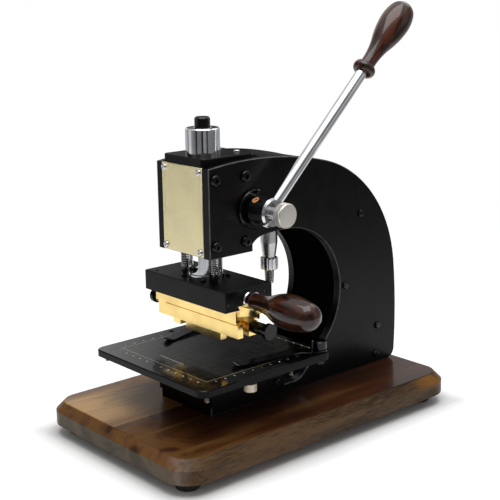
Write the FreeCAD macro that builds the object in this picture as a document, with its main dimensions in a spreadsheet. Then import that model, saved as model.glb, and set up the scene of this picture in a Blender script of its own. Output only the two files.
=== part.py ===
import FreeCAD, Part
import math
import os

import Sketcher

# A hand cranked bench press for hot stamping.
# +X is the lever side, -Y the front, +Z up; the origin is the middle of the board's underside.

doc = FreeCAD.newDocument("StampingPress")
vector = FreeCAD.Vector

# Driving dimensions in millimetres and degrees.
SIZES = {
    # Wooden board and its feet
    "board_width": 200.0,
    "board_depth": 320.0,
    "board_thick": 19.5,
    "board_corner": 24.0,
    "board_bevel": 7.7,
    "foot_radius": 10.0,
    "foot_tip_radius": 9.0,
    "foot_height": 10.5,
    "foot_x": 77.0,
    "foot_y": 139.0,
    "foot_recess_radius": 4.2,
    "foot_recess_depth": 4.5,
    "foot_screw_radius": 2.0,
    "foot_screw_head": 3.6,
    "foot_screw_head_thick": 2.4,
    "foot_screw_grip": 10.0,
    # Screws that hold the frame to the board
    "base_screw_radius": 3.0,
    "base_screw_head": 5.5,
    "base_screw_head_thick": 5.0,
    "base_screw_sink": 6.0,
    "base_screw_x": 14.0,
    "base_screw_front": -60.0,
    "base_screw_rear": 84.0,
    "base_screw_grip": 6.0,
    # Side cheeks
    "frame_half": 27.0,
    "cheek_thick": 8.0,
    "cheek_edge": 0.8,
    "front_y": -77.0,
    "head_top": 232.0,
    "head_underside": 155.5,
    "cheek_front_top": 230.9,
    "crest_radius": 340.5,
    "crest_y": 55.35,
    "crest_z": 224.2,
    "shoulder_y": 149.1,
    "shoulder_z": 117.2,
    "heel_y": 151.4,
    "heel_rise": 9.0,
    "arm_front": -79.5,
    "arm_thick": 8.0,
    "ramp_start_y": 18.05,
    "ramp_blend_y": 28.26,
    "ramp_blend_z": 31.53,
    "ramp_top_y": 54.8,
    "ramp_top_z": 56.3,
    "throat_back_y": 15.9,
    "throat_back_z": 168.4,
    "throat_mid_y": -17.8,
    "throat_mid_z": 167.7,
    "throat_front_y": -30.0,
    "throat_front_z": 161.6,
    # Spine
    "spacer_rear": 112.0,
    "cover_front_y": -11.0,
    "cover_thick": 2.0,
    "cover_inset": 0.5,
    "wall_thick": 1.5,
    "wall_inset": 1.2,
    "tie_radius": 3.5,
    "tie_screw_radius": 2.0,
    "tie_screw_head": 3.4,
    "tie_screw_head_thick": 2.0,
    "tie_screw_grip": 12.0,
    "tie_1_y": 101.8,
    "tie_1_z": 169.6,
    "tie_2_y": 81.9,
    "tie_2_z": 104.2,
    "tie_3_y": 126.3,
    "tie_3_z": 56.5,
    "tie_4_y": 124.6,
    "tie_4_z": 28.0,
    # Head
    "head_front": -76.0,
    "head_rear": -12.0,
    "head_step_z": 172.0,
    "head_step_gap": 2.3,
    "head_screw_radius": 3.0,
    "head_screw_head": 4.8,
    "head_screw_head_thick": 3.0,
    "head_screw_socket": 1.7,
    "head_screw_grip": 9.0,
    "head_screw_front_y": -70.5,
    "head_screw_rear_y": -38.0,
    "head_screw_rise": 10.0,
    "head_screw_drop": 11.0,
    "top_plate_thick": 6.0,
    "top_plate_rear": -20.0,
    "top_plate_corner": 4.0,
    "top_plate_edge": 0.6,
    "top_screw_x": 12.0,
    "top_screw_y": -27.0,
    "top_screw_radius": 1.5,
    "top_screw_head": 2.7,
    "top_screw_head_thick": 1.6,
    "top_screw_grip": 8.0,
    "sleeve_radius": 14.5,
    "sleeve_height": 22.0,
    "sleeve_edge": 1.0,
    "sleeve_spigot_radius": 10.0,
    # Nameplate
    "plate_thick": 1.5,
    "plate_bottom": 156.0,
    "plate_top": 231.0,
    "plate_half": 26.8,
    "plate_screw_x": 23.0,
    "plate_screw_margin": 4.0,
    "plate_screw_radius": 1.25,
    "plate_screw_head": 3.0,
    "plate_screw_head_thick": 1.9,
    "plate_screw_socket": 1.2,
    "plate_screw_grip": 5.0,
    # Ram
    "ram_y": -54.0,
    "ram_radius": 12.5,
    "slide_gap": 0.1,
    "ram_sink": 1.0,
    "stem_radius": 6.65,
    "stem_top": 269.0,
    "stem_root_radius": 4.0,
    "stem_root": 10.0,
    "stem_edge": 1.2,
    "hub_tube_radius": 14.75,
    "hub_tube_bore": 11.0,
    "hub_tube_top": 176.0,
    "hub_tube_roof": 6.0,
    "hub_bore_gap": 2.0,
    "hub_flange_radius": 16.4,
    "hub_flange_thick": 3.5,
    "window_width": 13.0,
    "window_bottom": 136.7,
    "window_top": 164.0,
    "ram_bolt_radius": 5.0,
    "ram_bolt_sink": 8.0,
    "ram_bolt_grip": 10.0,
    "hub_screw_ring": 19.0,
    "hub_screw_radius": 1.25,
    "hub_screw_head": 2.2,
    "hub_screw_head_thick": 2.0,
    "hub_screw_grip": 5.0,
    # Rack and pinion
    "gear_module": 1.5,
    "gear_teeth": 20,
    "gear_pressure": 20.0,
    "gear_backlash": 0.12,
    "gear_face": 14.0,
    "gear_foot": 1.2,
    "rack_foot": 1.25,
    "gear_chamber_gap": 1.2,
    "gear_side_gap": 1.0,
    "axle_y": -29.5,
    "axle_z": 192.0,
    "axle_radius": 5.0,
    "axle_gap": 0.05,
    "axle_way": 0.5,
    "shaft_end_gap": 0.3,
    "bush_radius": 8.0,
    "rack_gaps": 9,
    "over_run": 1.0,
    # Lever
    "flange_radius": 17.0,
    "flange_thick": 3.0,
    "flange_edge": 0.75,
    "lever_hub_radius": 12.7,
    "lever_hub_start": 41.0,
    "lever_hub_end": 61.5,
    "lever_hub_edge": 1.6,
    "lever_collar_radius": 8.0,
    "lever_collar_start": 38.95,
    "hub_cap_radius": 10.4,
    "hub_cap_start": 70.3,
    "hub_cap_end": 77.9,
    "hub_cap_edge": 1.0,
    "hub_cap_wall": 3.0,
    "grub_radius": 3.2,
    "grub_x": 46.5,
    "grub_angle": 125.0,
    "grub_sink": 0.2,
    "grub_socket": 1.9,
    "grub_socket_depth": 1.2,
    "rod_x": 55.0,
    "rod_radius": 5.0,
    "rod_lean": 45.5,
    "rod_start": 5.5,
    "collar_at": 158.0,
    "collar_radius": 10.2,
    "collar_half": 4.9,
    "tang_length": 42.0,
    "grip_neck_at": 8.5,
    "grip_neck_radius": 6.4,
    "grip_belly_at": 52.0,
    "grip_belly_radius": 13.5,
    "grip_flare_at": 30.0,
    "grip_flare_radius": 9.6,
    "grip_shoulder_at": 67.0,
    "grip_shoulder_radius": 11.6,
    "grip_tip_at": 76.0,
    "grip_tip_flat": 1.0,
    # Heater block
    "block_half": 55.0,
    "block_front": -78.5,
    "block_rear": -27.6,
    "block_bottom": 114.5,
    "block_top": 132.0,
    "block_edge": 0.6,
    "dovetail_mouth": 9.0,
    "dovetail_floor": 11.0,
    "dovetail_depth": 3.5,
    "dovetail_gap": 0.15,
    "probe_hole_x": -44.0,
    "probe_hole_y": -73.7,
    "probe_hole_radius": 1.6,
    "probe_hole_depth": 9.0,
    "heater_x": 30.0,
    "heater_z": 125.5,
    "heater_radius": 4.0,
    "heater_length": 44.0,
    "set_screw_radius": 1.5,
    "set_screw_length": 5.0,
    "set_screw_sink": 0.5,
    "set_screw_rear_y": -34.5,
    "set_screw_rear_z": 125.5,
    "set_screw_front_y": -74.6,
    "set_screw_front_z": 120.6,
    # Side handle
    "side_y": -53.0,
    "side_z": 121.7,
    "ferrule_radius": 7.5,
    "ferrule_length": 7.0,
    "ferrule_rim": 1.75,
    "ferrule_waist_radius": 7.0,
    "ferrule_waist_start": 2.8,
    "ferrule_waist_end": 5.6,
    "stud_radius": 3.0,
    "stud_sink": 10.0,
    "stud_tang": 30.0,
    "side_neck_radius": 7.1,
    "side_neck_at": 7.5,
    "side_flare_at": 25.0,
    "side_flare_radius": 10.6,
    "side_belly_at": 52.0,
    "side_belly_radius": 14.0,
    "side_shoulder_at": 64.5,
    "side_shoulder_radius": 11.6,
    "side_tip_at": 73.0,
    # Return springs
    "spring_x": 20.5,
    "spring_y": -60.5,
    "spring_radius": 3.15,
    "spring_wire": 0.5,
    "spring_turns": 17,
    "spring_bottom": 137.0,
    "spring_pitch": 1.6,
    "plug_radius": 2.4,
    "plug_rim_radius": 3.9,
    "plug_neck_radius": 2.6,
    "plug_rim_thick": 1.4,
    "plug_neck_thick": 2.2,
    "plug_grip": 7.0,
    "plug_sink": 5.0,
    "pocket_radius": 4.4,
    "pocket_top": 175.0,
    # Type holder
    "holder_front": -67.5,
    "holder_rear": -40.5,
    "holder_bottom": 102.8,
    "holder_gap": 0.2,
    "scoop_radius": 18.0,
    "scoop_depth": 5.0,
    "scoop_y": -54.0,
    "scoop_roof": 1.2,
    "jaw_left": -51.5,
    "jaw_right": 57.3,
    "jaw_bottom": 91.0,
    "groove_left": -40.5,
    "groove_height": 0.9,
    "groove_depth": 2.0,
    "slot_front": -62.0,
    "slot_rear": -55.5,
    "rear_jaw_rear": -45.5,
    "spacer_left": -37.5,
    "spacer_right": -27.5,
    "spacer_bottom": 84.0,
    "die_left": -19.5,
    "die_right": 28.0,
    "die_bottom": 82.3,
    "thumb_y": -50.6,
    "thumb_z": 98.4,
    "thumb_gap": 0.3,
    "thumb_shank_radius": 2.5,
    "thumb_shank": 10.0,
    "thumb_stem_radius": 5.25,
    "thumb_stem_end": 75.0,
    "thumb_disc_radius": 6.75,
    "thumb_disc_thick": 4.0,
    # Table
    "column_half": 37.0,
    "column_front": -81.0,
    "column_rear": 4.0,
    "column_edge": 2.0,
    "table_bottom": 57.5,
    "table_top": 63.5,
    "table_half": 76.0,
    "table_front": -121.5,
    "table_rear": 24.0,
    "table_corner": 7.5,
    "table_edge": 0.8,
    "table_hole_x": -68.0,
    "table_hole_y": -42.0,
    "table_hole_radius": 2.5,
    "column_screw_y": -6.5,
    "column_screw_z": 33.0,
    "table_stud_x": 70.0,
    "table_stud_front": -112.0,
    "table_stud_pitch": 46.0,
    "table_stud_rows": 3,
    "table_stud_radius": 2.0,
    "table_stud_length": 10.0,
    "table_stud_sink": 4.0,
    "table_nut_radius": 5.5,
    "table_nut_bottom": 49.0,
    "table_nut_top": 56.5,
    "table_nut_edge": 0.6,
    # Table clips
    "clip_x": 66.0,
    "clip_y": 18.0,
    "clip_angle": 13.4,
    "clip_thick": 1.2,
    "clip_lift": 0.4,
    "clip_rear_half": 7.0,
    "clip_tip_half": 4.6,
    "clip_flat": 10.0,
    "clip_knee": 22.0,
    "clip_crown": 2.6,
    "clip_touch": 78.0,
    "clip_curl_end": 86.0,
    "clip_curl": 2.8,
    "clip_screw_radius": 2.5,
    "clip_knob_radius": 6.5,
    "clip_knob_height": 8.0,
    "clip_knob_edge": 0.8,
    "clip_nut_radius": 5.5,
    "clip_nut_thick": 5.0,
    # Heater connector
    "plug_y": 19.5,
    "barrel_top": 167.4,
    "barrel_waist": 150.0,
    "barrel_bottom": 136.0,
    "barrel_radius": 7.7,
    "barrel_tip_radius": 5.75,
    "barrel_spigot_radius": 5.0,
    "barrel_spigot_top": 177.0,
    "lock_nut_radius": 7.5,
    "lock_nut_thick": 3.5,
    "flute_nut_radius": 8.15,
    "flute_nut_bottom": 125.0,
    "flute_count": 14,
    "flute_radius": 1.0,
    "flute_edge": 0.8,
    "relief_wire": 0.5,
    "relief_top_radius": 4.0,
    "relief_bottom_radius": 3.5,
    "relief_turns": 8,
    "relief_pitch": 1.5,
    "lead_radius": 2.0,
    "lead_gap": 0.3,
    "lead_slack": 9.5,
    "gland_radius": 4.0,
    "gland_bore_radius": 2.3,
    "gland_sink": 5.0,
    "gland_stand": 2.4,
    "gland_edge": 0.7,
    "gland_z": 124.0,
}


class Size:
    """A number of the sheet, or a sum or product of such numbers, with its value and its formula."""

    def __init__(self, value, formula):
        self.value = float(value)
        self.formula = formula

    def __add__(self, other):
        return join(self, other, "+")

    def __radd__(self, other):
        return join(other, self, "+")

    def __sub__(self, other):
        return join(self, other, "-")

    def __rsub__(self, other):
        return join(other, self, "-")

    def __mul__(self, other):
        return join(self, other, "*")

    def __rmul__(self, other):
        return join(other, self, "*")

    def __truediv__(self, other):
        return join(self, other, "/")

    def __neg__(self):
        return join(0, self, "-")


def size_of(number):
    """Plain numbers become sizes with a formula of their own."""
    if isinstance(number, Size):
        return number
    return Size(number, repr(float(number)))


def join(left, right, sign):
    """Two sizes joined by one sign, in value and in formula."""
    left = size_of(left)
    right = size_of(right)
    if sign == "+":
        value = left.value + right.value
    elif sign == "-":
        value = left.value - right.value
    elif sign == "*":
        value = left.value * right.value
    else:
        value = left.value / right.value
    return Size(value, "(" + left.formula + " " + sign + " " + right.formula + ")")


class Sizes:
    """Every size of the sheet as an attribute."""


dims = doc.addObject("Spreadsheet::Sheet", "Dims")
D = Sizes()
for row, (size_name, size_value) in enumerate(SIZES.items(), start=1):
    dims.set("A" + str(row), size_name)
    dims.set("B" + str(row), str(size_value))
    dims.setAlias("B" + str(row), size_name)
    setattr(D, size_name, Size(size_value, "Dims." + size_name))
doc.recompute()

nodes = {}


def bind(thing, **sizes):
    """Ties properties of an object to sizes; a double underscore stands for a dot."""
    for key, size in sizes.items():
        size = size_of(size)
        path = key.replace("__", ".")
        if "Dims" in size.formula:
            thing.setExpression(path, size.formula)
        elif "." not in path:
            setattr(thing, path, size.value)


def place(thing, x=0.0, y=0.0, z=0.0, turn=None):
    """Puts an object at a point, turned first where a turn is given."""
    x = size_of(x)
    y = size_of(y)
    z = size_of(z)
    rotation = turn if turn is not None else FreeCAD.Rotation()
    thing.Placement = FreeCAD.Placement(vector(x.value, y.value, z.value), rotation)
    bind(thing, Placement__Base__x=x, Placement__Base__y=y, Placement__Base__z=z)
    return thing


def keep(name, thing):
    """Names a finished sub-part and remembers it for the checks and the files."""
    thing.Label = name
    nodes[name] = thing
    return thing


TO_RIGHT = FreeCAD.Rotation(vector(0, 1, 0), 90)
TO_LEFT = FreeCAD.Rotation(vector(0, 1, 0), -90)
TO_BACK = FreeCAD.Rotation(vector(1, 0, 0), -90)
TO_FRONT = FreeCAD.Rotation(vector(1, 0, 0), 90)
DOWN = FreeCAD.Rotation(vector(1, 0, 0), 180)


def box(x0, x1, y0, y1, z0, z1):
    """A block between two corners."""
    block = doc.addObject("Part::Box", "Block")
    bind(block, Length=x1 - x0, Width=y1 - y0, Height=z1 - z0)
    return place(block, x0, y0, z0)


def rod(radius, length, x=0.0, y=0.0, z=0.0, turn=None):
    """A round bar that starts at a point and runs up, or along its turn."""
    bar = doc.addObject("Part::Cylinder", "Rod")
    bind(bar, Radius=radius, Height=length)
    return place(bar, x, y, z, turn)


def together(things):
    """Several separate solids as one group."""
    group = doc.addObject("Part::Compound", "Group")
    group.Links = list(things)
    return group


def cut(base, tools):
    """A piece with holes or recesses, one for each tool."""
    result = doc.addObject("Part::Cut", "Cut")
    result.Base = base
    result.Tool = tools[0] if len(tools) == 1 else together(tools)
    return result


def new_body(name):
    """A part design body."""
    return doc.addObject("PartDesign::Body", name)


def sketch_on(body, role, name, offset=None):
    """A sketch on one of the body's own origin planes, moved along its normal where asked."""
    sketch = body.newObject("Sketcher::SketchObject", name)
    plane = [item for item in body.Origin.OriginFeatures if item.Role == role][0]
    sketch.AttachmentSupport = (plane, [""])
    sketch.MapMode = "FlatFace"
    if offset is not None:
        sketch.setExpression("AttachmentOffset.Base.z", size_of(offset).formula)
    return sketch


def arc_through(start, heading, end):
    """The centre and the turning sense of the arc that leaves start along heading and meets end."""
    chord = end - start
    normal = vector(-heading.y, heading.x, 0)
    lift = chord.dot(normal)
    reach = chord.dot(chord) / (2 * lift)
    centre = start + normal * reach
    return centre, abs(reach), lift > 0


def arc_of_radius(start, end, radius, left):
    """The centre of an arc of known radius that curves to the left or to the right."""
    middle = (start + end) * 0.5
    chord = end - start
    half = chord.Length / 2
    side = vector(-chord.y, chord.x, 0).normalize()
    rise = math.sqrt(radius * radius - half * half)
    return middle + side * (rise if left else -rise)


def outline(sketch, steps):
    """A closed outline of straight runs and arcs.

    Each step is (x, y) for a straight run to that point, (x, y, "arc") for an arc that leaves
    the run before it without a corner, or (x, y, radius) for an arc of that radius turning right.
    """
    points = [vector(size_of(step[0]).value, size_of(step[1]).value, 0) for step in steps]
    count = len(steps)
    heading = points[0] - points[-1]
    heading.normalize()
    ends = []
    for index in range(count):
        start = points[index - 1]
        end = points[index]
        kind = steps[index][2] if len(steps[index]) > 2 else "line"
        if kind == "line":
            item = sketch.addGeometry(Part.LineSegment(start, end), False)
            heading = (end - start).normalize()
            ends.append((item, 1, 2, kind))
            continue
        if kind == "arc":
            centre, radius, left = arc_through(start, heading, end)
        else:
            radius = size_of(kind).value
            left = False
            centre = arc_of_radius(start, end, radius, left)
        from_centre = start - centre
        to_centre = end - centre
        angle_start = math.atan2(from_centre.y, from_centre.x)
        angle_end = math.atan2(to_centre.y, to_centre.x)
        circle = Part.Circle(centre, vector(0, 0, 1), radius)
        if left:
            item = sketch.addGeometry(Part.ArcOfCircle(circle, angle_start, angle_end), False)
            ends.append((item, 1, 2, kind))
            heading = vector(-to_centre.y, to_centre.x, 0).normalize()
        else:
            item = sketch.addGeometry(Part.ArcOfCircle(circle, angle_end, angle_start), False)
            ends.append((item, 2, 1, kind))
            heading = vector(to_centre.y, -to_centre.x, 0).normalize()
    for index in range(count):
        item, first, last, kind = ends[index]
        before, ignored, before_last, before_kind = ends[index - 1]
        if kind == "arc":
            sketch.addConstraint(Sketcher.Constraint("Tangent", before, before_last, item, first))
        else:
            sketch.addConstraint(Sketcher.Constraint("Coincident", before, before_last, item, first))
            if kind != "line":
                number = sketch.addConstraint(Sketcher.Constraint("Radius", item, size_of(kind).value))
                sketch.setExpression("Constraints[" + str(number) + "]", size_of(kind).formula)
        for axis, value in (("DistanceX", steps[index][0]), ("DistanceY", steps[index][1])):
            size = size_of(value)
            number = sketch.addConstraint(Sketcher.Constraint(axis, item, last, size.value))
            if "Dims" in size.formula:
                sketch.setExpression("Constraints[" + str(number) + "]", size.formula)
    return sketch


def rounded_steps(x0, x1, y0, y1, radius):
    """The steps of a rectangle with round corners."""
    return [
        (x1 - radius, y0),
        (x1, y0 + radius, "arc"),
        (x1, y1 - radius),
        (x1 - radius, y1, "arc"),
        (x0 + radius, y1),
        (x0, y1 - radius, "arc"),
        (x0, y0 + radius),
        (x0 + radius, y0, "arc"),
    ]


def pad(body, sketch, length, both_sides=False):
    """Raises a sketch into a solid."""
    feature = body.newObject("PartDesign::Pad", "Pad")
    feature.Profile = sketch
    bind(feature, Length=length)
    feature.Midplane = both_sides
    return feature


def revolve(body, sketch):
    """Turns a profile once round the sketch's upright axis."""
    feature = body.newObject("PartDesign::Revolution", "Turn")
    feature.Profile = sketch
    feature.ReferenceAxis = (sketch, ["V_Axis"])
    feature.Angle = 360.0
    return feature


def turned(name, steps):
    """A turned piece about its own upright axis, from steps of (radius, height)."""
    body = new_body(name)
    sketch = outline(sketch_on(body, "XZ_Plane", "Profile"), steps)
    revolve(body, sketch)
    return body


def edge_bevel(body, size, chosen):
    """Chamfers the edges that the test picks."""
    doc.recompute()
    base = body.Tip
    names = []
    for number, edge in enumerate(base.Shape.Edges, start=1):
        if chosen(edge):
            names.append("Edge" + str(number))
    bevel = body.newObject("PartDesign::Chamfer", "Bevel")
    bevel.Base = (base, names)
    bind(bevel, Size=size)
    return bevel


def edge_in_plane(edge, axis, level):
    """Says whether an edge lies in the plane where one coordinate has a given value."""
    low = getattr(edge.BoundBox, axis + "Min")
    high = getattr(edge.BoundBox, axis + "Max")
    return abs(low - level) < 0.001 and abs(high - level) < 0.001


# A domed head's straight skirt and hex socket floor as shares of its height, and its flat
# crown as a share of its radius.
SCREW_SKIRT = 0.35
SOCKET_FLOOR = 0.5
SCREW_CROWN = 0.55


def six_sided(radius, length, x=0.0, y=0.0, z=0.0, turn=None):
    """A six-sided bar."""
    bar = doc.addObject("Part::Prism", "SixSided")
    bar.Polygon = 6
    bind(bar, Circumradius=radius, Height=length)
    return place(bar, x, y, z, turn)


def button_screw(shank_radius, shank, head_radius, head_thick, socket=0.0):
    """A screw that stands on its head's underside: shank below, domed head above, hex socket on top."""
    steps = [
        (0, -shank),
        (shank_radius, -shank),
        (shank_radius, 0),
        (head_radius, 0),
        (head_radius, head_thick * SCREW_SKIRT),
        (head_radius * SCREW_CROWN, head_thick, "arc"),
        (0, head_thick),
    ]
    screw = turned("Screw", steps)
    if size_of(socket).value == 0:
        return screw
    return cut(screw, [six_sided(socket, head_thick, 0, 0, head_thick * SOCKET_FLOOR)])


# Board and feet

def make_board():
    """The wooden board, with a bevel round its top and the holes for the screws from below."""
    body = new_body("BoardBody")
    plan = rounded_steps(
        -D.board_width / 2, D.board_width / 2, -D.board_depth / 2, D.board_depth / 2, D.board_corner
    )
    pad(body, outline(sketch_on(body, "XY_Plane", "Plan"), plan), D.board_thick)
    top = SIZES["board_thick"]
    edge_bevel(body, D.board_bevel, lambda edge: edge_in_plane(edge, "Z", top))
    holes = []
    for side in (-1, 1):
        for y in (D.base_screw_front, D.base_screw_rear):
            holes.append(rod(D.base_screw_radius, D.board_thick, side * D.base_screw_x, y))
            holes.append(rod(D.base_screw_head, D.base_screw_sink, side * D.base_screw_x, y))
        for depth in (-1, 1):
            holes.append(
                rod(D.foot_screw_radius, D.foot_screw_grip, side * D.foot_x, depth * D.foot_y)
            )
    keep("base_board", cut(body, holes))


def make_feet():
    """Four rubber feet, each held by a pan head screw up its middle."""
    feet = []
    screws = []
    for side in (-1, 1):
        for depth in (-1, 1):
            foot = turned("Foot", [
                (D.foot_screw_radius, 0),
                (D.foot_screw_radius, D.foot_recess_depth - D.foot_height),
                (D.foot_recess_radius, D.foot_recess_depth - D.foot_height),
                (D.foot_recess_radius, -D.foot_height),
                (D.foot_tip_radius, -D.foot_height),
                (D.foot_radius, D.foot_radius - D.foot_tip_radius - D.foot_height),
                (D.foot_radius, 0),
            ])
            feet.append(place(foot, side * D.foot_x, depth * D.foot_y))
            screw = button_screw(
                D.foot_screw_radius,
                D.foot_screw_grip + D.foot_height - D.foot_recess_depth,
                D.foot_screw_head,
                D.foot_screw_head_thick,
            )
            seat = D.foot_recess_depth - D.foot_height
            screws.append(place(screw, side * D.foot_x, depth * D.foot_y, seat, DOWN))
    keep("rubber_feet", together(feet))
    keep("board_screws", together(screws + base_screws()))


def base_screws():
    """Four screws through the board into the spacer of the frame."""
    screws = []
    for side in (-1, 1):
        for y in (D.base_screw_front, D.base_screw_rear):
            shank = D.board_thick - D.base_screw_sink + D.base_screw_grip
            screw = button_screw(
                D.base_screw_radius, shank, D.base_screw_head, D.base_screw_head_thick
            )
            screws.append(place(screw, side * D.base_screw_x, y, D.base_screw_sink, DOWN))
    return screws


# Frame

def make_cheeks():
    """The two side cheeks: one outline of tangent arcs, with holes for screws and the bushes."""
    arm_top = D.board_thick + D.arm_thick
    steps = [
        (D.front_y, D.cheek_front_top),
        (D.crest_y, D.crest_z, D.crest_radius),
        (D.shoulder_y, D.shoulder_z, "arc"),
        (D.heel_y, D.board_thick + D.heel_rise, "arc"),
        (D.heel_y - heel_reach(), D.board_thick, "arc"),
        (D.arm_front, D.board_thick),
        (D.arm_front, arm_top),
        (D.ramp_start_y, arm_top),
        (D.ramp_blend_y, D.ramp_blend_z, "arc"),
        (D.ramp_top_y, D.ramp_top_z),
        (D.throat_back_y, D.throat_back_z, "arc"),
        (D.throat_mid_y, D.throat_mid_z, "arc"),
        (D.throat_front_y, D.throat_front_z, "arc"),
        (D.throat_front_y, D.head_underside),
        (D.front_y, D.head_underside),
    ]
    outer_x = SIZES["frame_half"] + SIZES["cheek_thick"]
    for name, side in (("cheek_right", 1), ("cheek_left", -1)):
        body = new_body(name + "_body")
        start = D.frame_half if side > 0 else -D.frame_half - D.cheek_thick
        sketch = outline(sketch_on(body, "YZ_Plane", "Side", start), steps)
        pad(body, sketch, D.cheek_thick)
        edge_bevel(body, D.cheek_edge, lambda edge: edge_in_plane(edge, "X", side * outer_x))
        holes = []
        for y, z in head_screw_places():
            holes.append(rod(D.head_screw_radius, D.cheek_thick, start, y, z, TO_RIGHT))
        for y, z in tie_places():
            holes.append(rod(D.tie_screw_radius, D.cheek_thick, start, y, z, TO_RIGHT))
        holes.append(rod(D.bush_radius, D.cheek_thick, start, D.axle_y, D.axle_z, TO_RIGHT))
        keep(name, cut(body, holes))


def head_screw_places():
    """Where the head's screws go through each cheek."""
    places = []
    for y in (D.head_screw_front_y, D.head_screw_rear_y):
        for z in (D.head_underside + D.head_screw_rise, D.head_top - D.head_screw_drop):
            places.append((y, z))
    return places


def tie_places():
    """Where the tie bars join the cheeks."""
    return [
        (D.tie_1_y, D.tie_1_z),
        (D.tie_2_y, D.tie_2_z),
        (D.tie_3_y, D.tie_3_z),
        (D.tie_4_y, D.tie_4_z),
    ]


def make_spacer():
    """The flat bar between the cheeks on the board, threaded for the screws from below."""
    bar = box(
        -D.frame_half, D.frame_half, D.arm_front, D.spacer_rear,
        D.board_thick, D.board_thick + D.arm_thick
    )
    holes = []
    for side in (-1, 1):
        for y in (D.base_screw_front, D.base_screw_rear):
            holes.append(
                rod(D.base_screw_radius, D.base_screw_grip, side * D.base_screw_x, y, D.board_thick)
            )
    keep("base_spacer", cut(bar, holes))


def make_tie_bars():
    """Round bars between the cheeks, each held by a button screw at both ends."""
    bars = []
    screws = []
    reach = D.frame_half + D.cheek_thick
    for y, z in tie_places():
        bar = rod(D.tie_radius, D.frame_half * 2, -D.frame_half, y, z, TO_RIGHT)
        holes = [
            rod(D.tie_screw_radius, D.tie_screw_grip, -D.frame_half, y, z, TO_RIGHT),
            rod(D.tie_screw_radius, D.tie_screw_grip, D.frame_half, y, z, TO_LEFT),
        ]
        bars.append(cut(bar, holes))
        for side, turn in ((1, TO_RIGHT), (-1, TO_LEFT)):
            screw = button_screw(
                D.tie_screw_radius, D.cheek_thick + D.tie_screw_grip, D.tie_screw_head,
                D.tie_screw_head_thick
            )
            screws.append(place(screw, side * reach, y, z, turn))
    keep("tie_bars", together(bars))
    keep("frame_screws", together(screws + column_screws()))


def chain(start, heading, points):
    """Arcs that follow each other without a corner, each as centre, radius, start, end and sense."""
    arcs = []
    for point in points:
        centre, radius, left = arc_through(start, heading, point)
        arcs.append((centre, radius, start, point, left))
        heading = heading_at(centre, point, left)
        start = point
    return arcs


def heading_at(centre, point, left):
    """The way that an arc runs at one of its points."""
    out = point - centre
    return vector(-out.y, out.x, 0).normalize() if left else vector(out.y, -out.x, 0).normalize()


def shifted(arc, step):
    """One arc moved to its left by a step: its start, middle and end."""
    centre, radius, start, end, left = arc
    grown = radius - step if left else radius + step
    first = centre + (start - centre) * (grown / radius)
    last = centre + (end - centre) * (grown / radius)
    angle_first = math.atan2(first.y - centre.y, first.x - centre.x)
    angle_last = math.atan2(last.y - centre.y, last.x - centre.x)
    if left and angle_last < angle_first:
        angle_last += 2 * math.pi
    if not left and angle_last > angle_first:
        angle_last -= 2 * math.pi
    half = (angle_first + angle_last) / 2
    middle = centre + vector(math.cos(half), math.sin(half), 0) * grown
    return first, middle, last


def upright(point):
    """A point of the side view, where x is depth and y is height, in the object's frame."""
    return vector(0, point.x, point.y)


def bent_sheet(arcs, near, far, half_width):
    """A sheet bent along a chain of arcs, between two shifts to the left of it."""
    edges = []
    for step in (near, far):
        for arc in arcs:
            first, middle, last = [upright(point) for point in shifted(arc, step)]
            edges.append(Part.Arc(first, middle, last).toShape())
    for arc in (arcs[0], arcs[-1]):
        pick = 0 if arc is arcs[0] else 2
        ends = [upright(shifted(arc, step)[pick]) for step in (near, far)]
        edges.append(Part.LineSegment(ends[0], ends[1]).toShape())
    face = Part.Face(Part.Wire(Part.__sortEdges__(edges)))
    face.translate(vector(-half_width, 0, 0))
    return face.extrude(vector(half_width * 2, 0, 0))


def plain_point(y, z):
    """A point of the side view from two sizes."""
    return vector(y.value, z.value, 0)


def outer_arcs(points):
    """Arcs from the cheeks' front top through some points, with no corner between them."""
    start = plain_point(D.front_y, D.cheek_front_top)
    centre = arc_of_radius(start, points[0], D.crest_radius.value, False)
    return chain(start, heading_at(centre, start, False), points)


def back_points():
    """The points of the cheeks' outer edge down to the heel's round."""
    return [
        plain_point(D.crest_y, D.crest_z),
        plain_point(D.shoulder_y, D.shoulder_z),
        plain_point(D.heel_y, D.board_thick + D.heel_rise),
    ]


def heel_reach():
    """How far forward the heel's round runs until it lies level on the board."""
    centre, radius, start, end, left = outer_arcs(back_points())[-1]
    heading = heading_at(centre, end, left)
    return -D.heel_rise.value * heading.y / (1 + heading.x)


def crest_arcs():
    """The arcs of the cheeks' outer edge, from the front round the heel to the board."""
    return outer_arcs(back_points() + [plain_point(D.heel_y - heel_reach(), D.board_thick)])


def throat_arcs():
    """The arcs of the cheeks' throat, from the ramp up and forward to the head."""
    blend = plain_point(D.ramp_blend_y, D.ramp_blend_z)
    top = plain_point(D.ramp_top_y, D.ramp_top_z)
    points = [
        plain_point(D.throat_back_y, D.throat_back_z),
        plain_point(D.throat_mid_y, D.throat_mid_z),
        plain_point(D.throat_front_y, D.throat_front_z),
    ]
    return chain(top, (top - blend).normalize(), points)


def make_spine_cover():
    """The sheet that closes the spine along the crest and the back, open just behind the head."""
    arcs = crest_arcs()
    centre, radius, start, end, left = arcs[0]
    height = math.sqrt(radius ** 2 - (D.cover_front_y.value - centre.x) ** 2)
    front = vector(D.cover_front_y.value, centre.y + height, 0)
    arcs[0] = (centre, radius, front, end, left)
    near = -D.cover_inset.value
    far = -D.cover_inset.value - D.cover_thick.value
    sheet = doc.addObject("Part::Feature", "SpineSheet")
    sheet.Shape = bent_sheet(arcs, near, far, D.frame_half.value)
    keep("spine_cover", sheet)


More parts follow.
